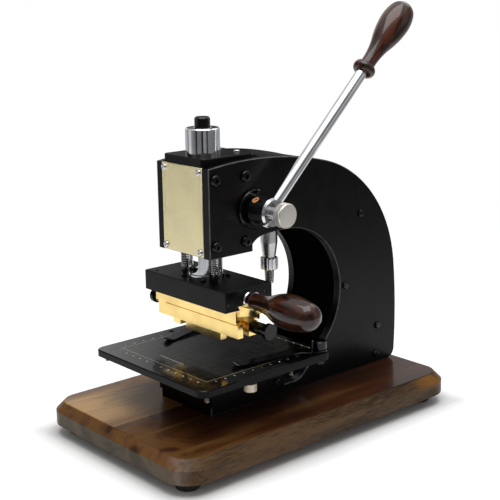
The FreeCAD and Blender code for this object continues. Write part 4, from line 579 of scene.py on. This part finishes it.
class WalnutFinish(Finish):
    """Two glued walnut planks with their grain along the board, under a satin oil."""

    def __init__(self, tones):
        super().__init__("walnut", tones.heart, specular_ior_level=0.1, coat_roughness=0.14)
        self.tones = tones
        self.across, self.along, self.upward = self.axes()
        self.sweep = self.drawn(70 * MM, 0.3, detail=2.0)
        self.bands = self.drawn(15 * MM, 0.09, detail=3.0, warp=0.8)
        self.streaks = self.drawn(2.6 * MM, 0.05, detail=4.0, rough=0.6)
        self.pores = self.drawn(0.5 * MM, 0.05, detail=2.0)
        self.blots = self.noise(26 * MM, detail=2.0, warp=0.6)
        self.rays = self.noise(4 * MM, stretch=(1.0, 0.4, 0.4), detail=3.0)
        self.right = self.across > tones.seam
        self.seam = abs(self.across - tones.seam) < 0.15 * MM
        rim = self.between(self.upward, 19.4 * MM, 18.6 * MM)
        ending = self.between(abs(self.along) - abs(self.across), 52 * MM, 66 * MM)
        skirt = self.mix(ending, self.sides(), self.ends())
        self.feed("Base Color", self.mix(rim, self.planks(), skirt))
        oiled = self.between(self.upward, 19.46 * MM, 19.49 * MM, 0.04, 0.5)
        self.feed("Coat Weight", oiled)
        self.feed("Roughness", self.between(self.pores + self.streaks, 0.7, 1.3, 0.3, 0.44))
        relief = self.streaks * 0.4 - self.pores * 0.6 - self.seam
        self.bump(relief, metres=0.12 * MM, strength=0.4)

    def drawn(self, size, run, **more):
        """Noise drawn out along the board: the smaller the run, the longer the grain."""
        return self.noise(size, stretch=(1.0, run, 1.0), **more)

    def planks(self):
        """The top: a lighter and a darker plank, sapwood, veins, the seam and a warm patch; the
        darker plank is partly painted shade, and the warm patch at its front is partly painted
        light.
        """
        tones = self.tones
        light = self.ramp(self.bands * 0.4 + self.streaks * 0.15 + self.sweep * 0.45, [
            (0.38, darker(tones.heart, 0.74)),
            (0.47, tones.heart),
            (0.56, darker(tones.heart, 1.16)),
            (0.64, darker(tones.sap, 0.9)),
        ])
        dark = self.ramp(self.bands * 0.3 + self.streaks * 0.1 + self.sweep * 0.6, [
            (0.38, darker(tones.deep, 0.7)),
            (0.48, tones.deep),
            (0.56, darker(tones.deep, 1.5)),
            (0.66, darker(tones.heart, 0.85)),
        ])
        wood = self.mix(self.right, light, dark)
        sapwood = self.vary(self.bands, tones.sap, 1.0, 0.86, NARROW)
        wood = self.mix(self.pale() * 0.85, wood, sapwood)
        wood = self.mix(self.veins(), wood, linear(darker(tones.deep, 0.75)))
        wood = self.mix(self.seam * 0.7, wood, linear(darker(tones.deep, 0.5)))
        return self.mix(self.warm(), wood, linear(darker(tones.amber, 0.85)))

    def pale(self):
        """Where the left plank is sapwood: a ragged patch at its front."""
        offset = self.across + self.tones.sap_middle
        ragged = self.tones.ragged
        reach = abs(offset + (self.sweep - 0.5) * ragged)
        edge = self.along + (self.bands - 0.5) * ragged + offset * 0.5
        patch = self.between(reach, 44 * MM, 30 * MM)
        return patch * self.between(edge, -84 * MM, -112 * MM) * (1 - self.right)

    def veins(self):
        """The dark year rings and pores, fainter on the darker plank."""
        figure = self.drawn(46 * MM, 0.24, detail=1.5, warp=0.4)
        rings = zigzag(figure * 17 + self.streaks * 0.5)
        veins = self.between(rings, 0.45, 0.0) * (0.24 - self.right * 0.08)
        return veins + self.between(self.pores, 0.6, 0.75) * 0.3

    def warm(self):
        """Where the right plank's front is lighter and warmer: partly the wood's own tint, partly
        painted light where the machine's shade ends.
        """
        front = self.along + (self.bands - 0.5) * 60 * MM
        warm = self.between(front, -112 * MM, -150 * MM) * self.between(self.blots, 0.44, 0.54)
        return warm * self.right * 0.6

    def sides(self):
        """The long sides' fine lines, with an amber knot near the rear."""
        tones = self.tones
        lines = self.drawn(0.8 * MM, 0.06, detail=4.0, rough=0.6)
        sides = self.ramp(lines * 0.45 + self.bands * 0.3 + self.sweep * 0.25, [
            (0.41, darker(tones.side, 0.72)),
            (0.49, tones.side),
            (0.58, darker(tones.side, 1.5)),
        ])
        knot = self.between(self.along, 104 * MM, 130 * MM) * self.between(self.blots, 0.36, 0.52)
        knot = knot * self.between(self.upward, 7 * MM, 13 * MM)
        return self.mix(knot * 0.9, sides, linear(tones.amber))

    def ends(self):
        """The end grain: ruddy on the bevel, grey brown below it, greyed at one corner."""
        tones = self.tones
        bevel = self.ramp(self.blots * 0.8 + self.rays * 0.2, [
            (0.38, darker(tones.end, 0.66)),
            (0.47, tones.end),
            (0.56, darker(tones.end, 1.2)),
            (0.64, darker(tones.amber, 0.84)),
        ])
        below = self.vary(self.blots, tones.face, 0.8, 1.12, (0.38, 0.62))
        ends = self.mix(self.between(self.upward, 12.5 * MM, 11 * MM), bevel, below)
        corner = abs(self.across - 86 * MM) + abs(self.along + 150 * MM)
        greyed = self.between(corner, 20 * MM, 8 * MM) * self.between(self.rays, 0.35, 0.6)
        return self.mix(greyed * 0.7, ends, linear(tones.grey))


def lacquer_finish(name, turn, share):
    """Dark rosewood under thick clear lacquer, its streaks along the handle's axis."""
    tones = looks("handle")
    finish = Finish(
        name, tones.red, specular_ior_level=0.1, coat_weight=0.85, coat_roughness=0.08
    )
    streaks = finish.noise(6 * MM, stretch=(0.16, 1.0, 1.0), turn=turn, detail=3.0, warp=0.6)
    fine = finish.noise(0.9 * MM, stretch=(0.06, 1.0, 1.0), turn=turn, detail=3.0)
    finish.feed("Base Color", finish.ramp(streaks * 0.75 + fine * 0.25, [
        (0.38, tones.black),
        (0.48, darker(tones.red, 0.5 * share)),
        (0.58, darker(tones.red, 0.8 * share)),
        (0.68, darker(tones.red, share)),
    ]))
    finish.feed("Roughness", finish.between(fine, *WIDE, 0.28, 0.4))
    finish.bump(fine, metres=0.02 * MM, strength=0.1)
    return finish


def plate_finish():
    """Pale brass, finely blasted to a soft satin, with faint clouds of handling."""
    tones = looks("plate")
    finish = Finish("plate_brass", tones.brass, metallic=1.0)
    blast = finish.noise(0.4 * MM, detail=3.0)
    brush = finish.noise(0.9 * MM, stretch=(0.05, 1.0, 1.0), detail=3.0)
    cloud = finish.noise(18 * MM, detail=3.0)
    finish.feed("Base Color", finish.vary(
        cloud * 0.7 + brush * 0.3, tones.brass, 0.96, 1.03, NARROW
    ))
    finish.feed("Roughness", finish.between(cloud + brush * 0.5, 0.5, 1.0, 0.36, 0.46))
    finish.bump(blast, metres=0.012 * MM, strength=0.25)
    return finish


def table_finish():
    """Glossy black with a ruled frame, a faint grid in it and a short rule at the front."""
    tones = looks("table")
    finish = Finish("ruled_table", tones.face, specular_ior_level=0.08, coat_roughness=0.1)
    across, along, upward = finish.axes()
    half = tones.line / 2
    beside = abs(across) - tones.frame_side
    depth = abs(along - tones.frame_middle) - tones.frame_depth
    within = (beside < half) & (depth < half)
    ruled = ((abs(beside) < half) | (abs(depth) < half)) & within
    columns, rows = (
        abs(run % tones.pitch - tones.pitch / 2) > tones.pitch / 2 - half * 0.7
        for run in (across - tones.frame_side, along - tones.frame_middle - tones.frame_depth)
    )
    short = abs(across - tones.rule_middle) < tones.rule_half
    short = short & (abs(along - tones.rule_depth) < half)
    top = upward > tones.face_height
    haze = finish.noise(20 * MM, detail=4.0)
    dust = finish.noise(0.6 * MM, detail=2.0)
    grid = (columns | rows) & within & top
    gridded = finish.mix(grid, linear(tones.face), linear(tones.grid))
    framed = finish.mix(ruled & top, gridded, linear(tones.frame))
    finish.feed("Base Color", finish.mix(short & top, framed, linear(tones.mark)))
    finish.feed("Roughness", finish.between(haze * 0.8 + dust * 0.2, *NARROW, 0.2, 0.34))
    finish.feed("Coat Weight", finish.between(top, 0, 1, 0.05, 0.85))
    return finish


def print_finish(shade):
    """White print with small gaps in the ink."""
    finish = Finish("print_white", shade, specular_ior_level=0.2)
    ink = finish.noise(0.3 * MM, detail=2.0)
    finish.feed("Base Color", finish.vary(ink, shade, 0.8, 1.0, (0.35, 0.6)))
    return finish


# Modelling kit

# An edge that turns by more than this stays sharp.
SHARP = math.radians(35)


def deselect():
    """Leaves nothing selected."""
    bpy.ops.object.select_all(action="DESELECT")


def select_only(*pieces):
    """Selects these pieces and nothing else, with the first one active."""
    deselect()
    for piece in pieces:
        piece.select_set(True)
    bpy.context.view_layer.objects.active = pieces[0]


def start_edit(piece, name):
    """Names a piece and opens it alone in edit mode."""
    piece.name = name
    piece.data.name = name
    select_only(piece)
    bpy.ops.object.mode_set(mode="EDIT")


def choose(piece, kind, test):
    """Selects the faces or the edges of an open piece that pass a test."""
    bpy.ops.mesh.select_all(action="DESELECT")
    bpy.ops.mesh.select_mode(type=kind)
    mesh = bmesh.from_edit_mesh(piece.data)
    for part in {"EDGE": mesh.edges, "FACE": mesh.faces}[kind]:
        if test(part):
            part.select_set(True)
    bmesh.update_edit_mesh(piece.data)


def apply_place(piece):
    """Puts a piece's place into its mesh, so that its object sits at the origin."""
    select_only(piece)
    bpy.ops.object.transform_apply(location=True, rotation=True, scale=True)


def close_edit(piece):
    """Closes a piece, with its place in its mesh and its sharp edges kept sharp."""
    bpy.ops.object.mode_set(mode="OBJECT")
    apply_place(piece)
    bpy.ops.object.shade_smooth_by_angle(angle=SHARP)


def paint(piece, finish, slot, *nodes):
    """Gives a piece its material and hides the nodes that it stands for. The slot is not used."""
    piece.data.materials.clear()
    piece.data.materials.append(finish.material)
    if nodes:
        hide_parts(*nodes)


def finish_piece(piece, finish, body, slot, *nodes):
    """Paints a piece and sets it on its body."""
    paint(piece, finish, slot, *nodes)
    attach(piece, body)


def block_between(low, high, name):
    """A box from corner to corner, open in edit mode."""
    middle = (Vector(low) + Vector(high)) / 2
    deselect()
    bpy.ops.mesh.primitive_cube_add(size=1, location=middle)
    piece = bpy.context.active_object
    piece.scale = Vector(high) - Vector(low)
    apply_place(piece)
    start_edit(piece, name)
    return piece


def at_corner(edge, low, high):
    """Says whether an edge runs front to back at one of a plate's four corners."""
    first, last = (vertex.co for vertex in edge.verts)
    if abs((first - last).normalized().y) < 0.9:
        return False
    beside = min(abs(first.x - low.x), abs(first.x - high.x))
    above = min(abs(first.z - low.z), abs(first.z - high.z))
    return max(beside, above) < 0.01 * MM


# Operators

class STAMPING_OT_board(bpy.types.Operator):
    """Finishes the walnut board, its rubber feet and the screws below it."""
    bl_idname = "stamping.board"
    bl_label = "Walnut board"

    def execute(self, context):
        dress(WalnutFinish(looks("board")), "base_board")
        dress(rubber_finish("foot_rubber", looks("board").rubber), "rubber_feet")
        dress(oxide_finish(), "board_screws")
        return {"FINISHED"}


class STAMPING_OT_frame(bpy.types.Operator):
    """Finishes the black frame, the head and their screws."""
    bl_idname = "stamping.frame"
    bl_label = "Black frame and head"

    def execute(self, context):
        tones = looks("coat")
        coat = coat_finish("black_coat", tones.body, low=0.26, high=0.36)
        dress(
            coat, "spine_cover", "head_block", "head_top_plate", "base_spacer", "table_column"
        )
        dress(cheek_finish(), "cheek_left", "cheek_right")
        dress(matt_finish("matt_wall", tones.wall, tones.grain), "throat_wall")
        dress(oxide_finish(), "frame_screws", "cheek_screws")
        shine("plated_screws", "chrome", 0.12, 0.24, "top_plate_screws", "nameplate_screws")
        shine("turned_steel", "steel", 0.18, 0.32, "tie_bars")
        return {"FINISHED"}


class STAMPING_OT_nameplate(bpy.types.Operator):
    """Models the blank brass plate with its raised line."""
    bl_idname = "stamping.nameplate"
    bl_label = "Brass plate"

    def execute(self, context):
        tones = looks("plate")
        low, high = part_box("nameplate")
        edge = Vector((0, tones.edge, 0))
        piece = block_between(low + edge, high, "brass_plate")
        choose(piece, "FACE", lambda f: f.normal.y < -0.9)
        bpy.ops.mesh.inset(thickness=tones.edge, depth=tones.edge)
        bpy.ops.mesh.inset(thickness=tones.border, depth=0)
        bpy.ops.mesh.inset(thickness=tones.rise, depth=tones.rise)
        bpy.ops.mesh.inset(thickness=2 * tones.rise, depth=0)
        bpy.ops.mesh.inset(thickness=tones.rise, depth=-tones.rise)
        choose(piece, "EDGE", lambda e: at_corner(e, low, high))
        bpy.ops.mesh.bevel(offset=tones.corner, segments=5, affect="EDGES")
        close_edit(piece)
        finish_piece(piece, plate_finish(), "frame", "plate_brass", "nameplate")
        return {"FINISHED"}


class STAMPING_OT_sleeve(bpy.types.Operator):
    """Finishes the chromed sleeve on the head and the stem in it."""
    bl_idname = "stamping.sleeve"
    bl_label = "Guide sleeve"

    def execute(self, context):
        shine("sleeve_chrome", "chrome", 0.07, 0.14, "guide_sleeve", run=(0.2, 0.2, 1.0))
        dress(oxide_finish(), "ram_stem")
        shine("bush_bronze", "bronze", 0.2, 0.36, "shaft_bushes")
        return {"FINISHED"}


# The lever's axis in metres: its depth and height.
LEVER_AXIS = (-29.5 * MM, 192 * MM)


class STAMPING_OT_lever(bpy.types.Operator):
    """Finishes the lever: shaft, gear, hub, cap, rod, collar and handle."""
    bl_idname = "stamping.lever"
    bl_label = "Lever"

    def execute(self, context):
        shine("hub_chrome", "chrome", 0.08, 0.16, "lever_hub", "lever_rod", run=(1.0, 0.3, 0.3))
        cap = knurled_finish(
            "cap_nickel", looks("metal").cap, axis=(1, 2), middle=LEVER_AXIS, teeth=60,
            reach=10 * MM, low=0.34, high=0.46
        )
        dress(cap, "hub_cap")
        shine("shaft_steel", "steel", 0.2, 0.34, "lever_shaft", "drive_pinion")
        shine("set_screw", "copper", 0.5, 0.6, "hub_set_screw")
        dress(oxide_finish(), "bearing_covers")
        turn = (0, looks("handle").lean, math.radians(90))
        lacquer = lacquer_finish("lever_lacquer", turn, share=0.95)
        dress(lacquer, "lever_handle", "handle_collar")
        return {"FINISHED"}


class STAMPING_OT_ram(bpy.types.Operator):
    """Finishes the ram: rack, hub, plugs, gland and the heater block."""
    bl_idname = "stamping.ram"
    bl_label = "Ram and heater block"

    def execute(self, context):
        coat = coat_finish("block_coat", looks("coat").block, low=0.32, high=0.42)
        dress(coat, "heater_block")
        dress(oxide_finish(), "heater_block_screws", "upper_spring_plugs")
        shine("rack_steel", "steel", 0.2, 0.34, "ram_rack", "ram_bolt")
        shine("hub_steel", "chrome", 0.1, 0.2, "ram_hub")
        shine("plug_steel", "plug", 0.14, 0.24, "lower_spring_plugs")
        shine("cartridge_steel", "steel", 0.3, 0.45, "heater_cartridges")
        shine("gland_nickel", "nickel", 0.2, 0.3, "lead_gland")
        return {"FINISHED"}


class STAMPING_OT_springs(bpy.types.Operator):
    """Models the two return springs as still coils; on the machine they stretch as the ram goes
    down.
    """
    bl_idname = "stamping.springs"
    bl_label = "Return springs"

    def execute(self, context):
        tones = looks("spring")
        select_only(*(self.spring(side * tones.aside, tones) for side in (-1, 1)))
        bpy.ops.object.join()
        piece = bpy.context.active_object
        start_edit(piece, "coil_springs")
        bpy.ops.mesh.select_all(action="SELECT")
        bpy.ops.mesh.fill_holes(sides=0)
        bpy.ops.mesh.select_all(action="SELECT")
        bpy.ops.mesh.normals_make_consistent(inside=False)
        close_edit(piece)
        wire = bright_finish("spring_wire", looks("metal").wire, low=0.12, high=0.2, depth=0.02)
        paint(piece, wire, "spring_steel", "return_springs")
        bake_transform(piece)
        return {"FINISHED"}

    def spring(self, aside, tones):
        """One spring, its wire wound up from the foot by a screw modifier."""
        deselect()
        bpy.ops.mesh.primitive_circle_add(
            vertices=tones.sides, radius=tones.wire, rotation=(math.radians(90), 0, 0),
            location=(tones.coil, 0, tones.foot + tones.wire)
        )
        piece = bpy.context.active_object
        apply_place(piece)
        winding = piece.modifiers.new("winding", "SCREW")
        winding.angle = math.tau
        winding.screw_offset = tones.pitch
        winding.iterations = tones.turns
        winding.steps = tones.steps
        winding.render_steps = tones.steps
        bpy.ops.object.modifier_apply(modifier=winding.name)
        piece.location = (aside, tones.depth, 0)
        apply_place(piece)
        return piece


class STAMPING_OT_side_handle(bpy.types.Operator):
    """Finishes the block's side handle and its ferrule."""
    bl_idname = "stamping.side_handle"
    bl_label = "Side handle"

    def execute(self, context):
        shine("ferrule_chrome", "chrome", 0.06, 0.12, "handle_ferrule", "handle_stud")
        dress(lacquer_finish("side_lacquer", turn=(0, 0, 0), share=0.75), "side_handle")
        return {"FINISHED"}


class STAMPING_OT_holder(bpy.types.Operator):
    """Finishes the brass type holder, its jaws, the die and the clamp screws."""
    bl_idname = "stamping.holder"
    bl_label = "Type holder"

    def execute(self, context):
        shine(
            "holder_brass", "brass", 0.14, 0.2, "holder_body", "front_jaw", "rear_jaw",
            "die_and_spacer", run=(0.04, 1.0, 1.0), size=0.5 * MM, depth=0.04
        )
        dress(oxide_finish(), "thumb_screw_left", "thumb_screw_right")
        return {"FINISHED"}


# The table nut's axis in metres: from the middle and along the machine.
NUT_AXIS = (70 * MM, -66 * MM)


class STAMPING_OT_table(bpy.types.Operator):
    """Finishes the ruled table, its studs, nuts and swing clips."""
    bl_idname = "stamping.table"
    bl_label = "Table"

    def execute(self, context):
        tones = looks("metal")
        dress(table_finish(), "table_plate")
        dress(threaded_finish("stud_thread", tones.nickel, pitch=0.8 * MM), "table_studs")
        nut = knurled_finish(
            "nut_nickel", tones.nickel, axis=(0, 1), middle=NUT_AXIS, teeth=36, reach=5.2 * MM
        )
        dress(nut, "table_nut")
        self.numbers(looks("table"))
        dress(
            oxide_finish(), "table_clip_left", "table_clip_right", "clip_knob_left",
            "clip_knob_right", "hex_nuts"
        )
        return {"FINISHED"}

    def numbers(self, tones):
        """The small numbers printed along the four edges of the table."""
        finish = print_finish(tones.mark)
        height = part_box("table_plate")[1][2] + tones.lift
        made = []
        for number in range(1, tones.columns + 1):
            x = (number - (tones.columns + 1) / 2) * tones.pitch
            made.append(self.number(number, (x, tones.front_row, height), 0, tones))
            made.append(self.number(number, (x, tones.rear_row, height), 180, tones))
        for number in range(1, tones.rows + 1):
            y = tones.first_row + (number - 1) * tones.pitch
            made.append(self.number(number, (tones.side_row, y, height), 90, tones))
            made.append(self.number(number, (-tones.side_row, y, height), -90, tones))
        select_only(*made)
        bpy.ops.object.convert(target="MESH")
        bpy.ops.object.join()
        piece = bpy.context.active_object
        piece.name = "table_numbers"
        apply_place(piece)
        finish_piece(piece, finish, "frame", "black_coat")

    def number(self, value, place, turn, tones):
        """One printed number, level on the table."""
        deselect()
        bpy.ops.object.text_add(location=place, rotation=(0, 0, math.radians(turn)))
        piece = bpy.context.active_object
        piece.data.body = str(value)
        piece.data.size = tones.number
        piece.data.align_x = "CENTER"
        piece.data.align_y = "CENTER"
        piece.data.extrude = tones.ink
        piece.data.offset = tones.weight
        return piece


class STAMPING_OT_connector(bpy.types.Operator):
    """Finishes the connector under the throat's roof."""
    bl_idname = "stamping.connector"
    bl_label = "Connector"

    def execute(self, context):
        shine("satin_barrel", "steel", 0.24, 0.36, "connector_barrel", run=(0.2, 0.2, 1.0))
        shine("fluted_chrome", "chrome", 0.1, 0.18, "connector_nut")
        shine("relief_wire", "wire", 0.18, 0.3, "strain_relief")
        return {"FINISHED"}


# The lead's route in metres: depth and height in the machine's middle plane.
LEAD_ROUTE = (
    (0.0195, 0.1445),
    (0.0195, 0.1145),
    (0.0189, 0.103),
    (0.0156, 0.093),
    (0.009, 0.0866),
    (0.0006, 0.0858),
    (-0.0058, 0.091),
    (-0.0088, 0.0998),
    (-0.01, 0.1086),
    (-0.0122, 0.117),
    (-0.0184, 0.124),
    (-0.0276, 0.124),
)


class STAMPING_OT_lead(bpy.types.Operator):
    """Models the heater's lead from the connector to the gland behind the block."""
    bl_idname = "stamping.lead"
    bl_label = "Heater lead"

    def execute(self, context):
        tones = looks("lead")
        curve = bpy.data.curves.new("heater_cord", "CURVE")
        curve.dimensions = "3D"
        curve.bevel_depth = tones.bore / 2
        curve.bevel_resolution = 6
        curve.resolution_u = 16
        curve.use_fill_caps = True
        spline = curve.splines.new("NURBS")
        spline.points.add(len(LEAD_ROUTE) - 1)
        for point, (depth, height) in zip(spline.points, LEAD_ROUTE):
            point.co = (0, depth, height, 1)
        spline.order_u = 3
        spline.use_endpoint_u = True
        piece = bpy.data.objects.new("heater_cord", curve)
        context.scene.collection.objects.link(piece)
        sheath = rubber_finish("lead_rubber", tones.rubber)
        finish_piece(piece, sheath, "ram", "lead_rubber", "heater_lead")
        return {"FINISHED"}


# The bright and dark panels round the room, as the share of a turn and the screen grey.
LOW_PANELS = (
    (0.0, 0.8), (0.06, 0.74), (0.08, 0.36), (0.1, 0.84), (0.14, 0.95),
    (0.18, 0.62), (0.21, 0.56), (0.255, 0.44), (0.268, 0.08), (0.282, 0.1),
    (0.295, 0.5), (0.36, 0.5), (0.375, 0.08), (0.395, 0.08), (0.41, 0.58),
    (0.455, 0.54), (0.468, 0.16), (0.482, 0.2), (0.5, 0.52), (0.62, 0.46),
    (0.7, 0.64), (0.78, 0.7), (0.86, 0.6), (0.88, 0.3), (0.93, 0.3),
    (0.96, 0.76),
)
HIGH_PANELS = (
    (0.0, 0.8), (0.04, 0.3), (0.08, 0.12), (0.14, 0.12), (0.2, 0.5),
    (0.26, 0.46), (0.3, 0.14), (0.36, 0.5), (0.5, 0.36), (0.535, 0.34),
    (0.56, 0.74), (0.61, 0.76), (0.65, 0.5), (0.78, 0.66), (0.85, 0.82),
    (0.868, 0.7), (0.88, 0.2), (0.889, 0.16), (0.898, 0.5), (0.912, 0.92),
    (0.97, 0.86),
)

# Where the low panels end, and where the white ceiling begins and is whole, as the sine of
# the angle above the level.
HORIZON = (-0.03, 0.03)
CEILING = (0.5, 0.8)

# Each lamp's name, its place and what it faces, its side in metres and its watts.
LAMPS = (
    ("key_lamp", (0.25, -0.15, 1.7), (0, 0, 0.1), 1.4, 19),
    ("back_lamp", (-0.2, 1.4, 1.5), (0, 0, 0.15), 1.0, 3),
)


class STAMPING_OT_stage(bpy.types.Operator):
    """Sets the floor, the lamps, the room and the camera."""
    bl_idname = "stamping.stage"
    bl_label = "Stage"

    def execute(self, context):
        tones = looks("stage")
        self.floor(tones)
        self.room(context, tones)
        for lamp in LAMPS:
            self.lamp(*lamp)
        self.camera(context, tones)
        return {"FINISHED"}

    def floor(self, tones):
        """The pale floor, white to the camera, its lift faded out close round the board: painted
        shade there, over the lamps' real shadow.
        """
        deselect()
        bpy.ops.mesh.primitive_plane_add(size=tones.size, location=(0, 0, PLAIN_BOX[0][2]))
        piece = bpy.context.active_object
        piece.name = "floor"
        finish = Finish("pale_floor", tones.paper, roughness=0.9, specular_ior_level=0.0)
        seen = finish.add("ShaderNodeLightPath", output="Is Camera Ray")
        seen = seen | finish.add("ShaderNodeLightPath", output="Is Glossy Ray")
        away = finish.add(
            "ShaderNodeVectorMath", {"operation": "LENGTH"}, {0: finish.place()}, output=1
        )
        finish.feed("Alpha", 1 - finish.between(away, tones.solid, tones.gone))
        across, along = finish.axes()[:2]
        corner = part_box("base_board")[1]
        aside = (abs(across) - corner[0]) | 0.0
        ahead = (abs(along) - corner[1]) | 0.0
        beside = finish.maths("SQRT", aside * aside + ahead * ahead)
        # The lift fades out towards the board: a painted contact shadow.
        shown = seen * finish.between(beside, tones.shaded, tones.clear)
        finish.feed("Emission Color", finish.mix(shown, grey(0.0), grey(tones.lift)))
        finish.feed("Emission Strength", 1.0)
        piece.data.materials.append(finish.material)

    def room(self, context, tones):
        """A pale room, white to the camera, with the dark panels that metal mirrors."""
        world = bpy.data.worlds.new("pale_room")
        world.use_nodes = True
        context.scene.world = world
        graph = Graph(world.node_tree)
        side, depth, rise = graph.parts(graph.add("ShaderNodeTexCoord"))
        turn = graph.maths("ARCTAN2", depth, side) / math.tau + 0.5
        low, high = (
            graph.ramp(turn, [(place, (shade,) * 3) for place, shade in panels])
            for panels in (LOW_PANELS, HIGH_PANELS)
        )
        panels = graph.mix(graph.between(rise, *HORIZON), low, high)
        panels = graph.mix(graph.between(rise, *CEILING), panels, grey(1.0))
        glossy = graph.add("ShaderNodeLightPath", output="Is Glossy Ray")
        plain = graph.add("ShaderNodeLightPath", output="Is Camera Ray")
        clear = graph.add("ShaderNodeLightPath", output="Is Transmission Ray")
        mirrored = graph.mix(glossy, grey(tones.sky), panels)
        back = graph.tree.nodes["Background"]
        graph.plug(back.inputs["Color"], graph.mix(plain | clear, mirrored, grey(1.0)))

    def lamp(self, name, place, target, size, power):
        """A square soft lamp that faces a point."""
        light = bpy.data.lights.new(name, "AREA")
        light.size = size
        light.energy = power
        lamp = bpy.data.objects.new(name, light)
        lamp.location = place
        away = Vector(target) - Vector(place)
        lamp.rotation_euler = away.to_track_quat("-Z", "Y").to_euler()
        bpy.context.scene.collection.objects.link(lamp)

    def camera(self, context, tones):
        """The camera of the photograph."""
        data = bpy.data.cameras.new("camera")
        data.lens = tones.lens
        data.sensor_width = tones.film
        camera = bpy.data.objects.new("camera", data)
        turn = Matrix.Rotation(tones.yaw, 4, "Z")
        turn = turn @ Matrix.Rotation(math.radians(90) + tones.pitch, 4, "X")
        turn = turn @ Matrix.Rotation(tones.roll, 4, "Z")
        camera.matrix_world = Matrix.Translation(tones.eye) @ turn
        context.scene.collection.objects.link(camera)
        context.scene.camera = camera
        context.scene.view_settings.view_transform = "Standard"


OPERATORS = (
    STAMPING_OT_stage,
    STAMPING_OT_lead,
    STAMPING_OT_board,
    STAMPING_OT_frame,
    STAMPING_OT_nameplate,
    STAMPING_OT_sleeve,
    STAMPING_OT_lever,
    STAMPING_OT_ram,
    STAMPING_OT_springs,
    STAMPING_OT_side_handle,
    STAMPING_OT_holder,
    STAMPING_OT_table,
    STAMPING_OT_connector,
)


class STAMPING_PT_pieces(bpy.types.Panel):
    """Lists the machine's pieces in the sidebar."""
    bl_label = "Stamping machine"
    bl_idname = "STAMPING_PT_pieces"
    bl_space_type = "VIEW_3D"
    bl_region_type = "UI"
    bl_category = "Stamping"

    def draw(self, context):
        for operator in OPERATORS:
            self.layout.operator(operator.bl_idname)
        for group in LOOKS:
            box = self.layout.box()
            box.label(text=group)
            settings = looks(group)
            for key in settings.__annotations__:
                box.prop(settings, key)


CLASSES = (*LOOKS.values(), *OPERATORS, STAMPING_PT_pieces)


def register():
    """Registers the classes and hangs the settings on the scene."""
    for kind in CLASSES:
        bpy.utils.register_class(kind)
    for name, kind in LOOKS.items():
        setattr(bpy.types.Scene, "stamping_" + name, PointerProperty(type=kind))


def unregister():
    """Takes the settings and the classes away again."""
    for name in LOOKS:
        delattr(bpy.types.Scene, "stamping_" + name)
    for kind in reversed(CLASSES):
        bpy.utils.unregister_class(kind)


def main():
    """Makes every piece."""
    register()
    for operator in OPERATORS:
        group, name = operator.bl_idname.split(".")
        getattr(getattr(bpy.ops, group), name)()


if __name__ == "__main__":
    main()
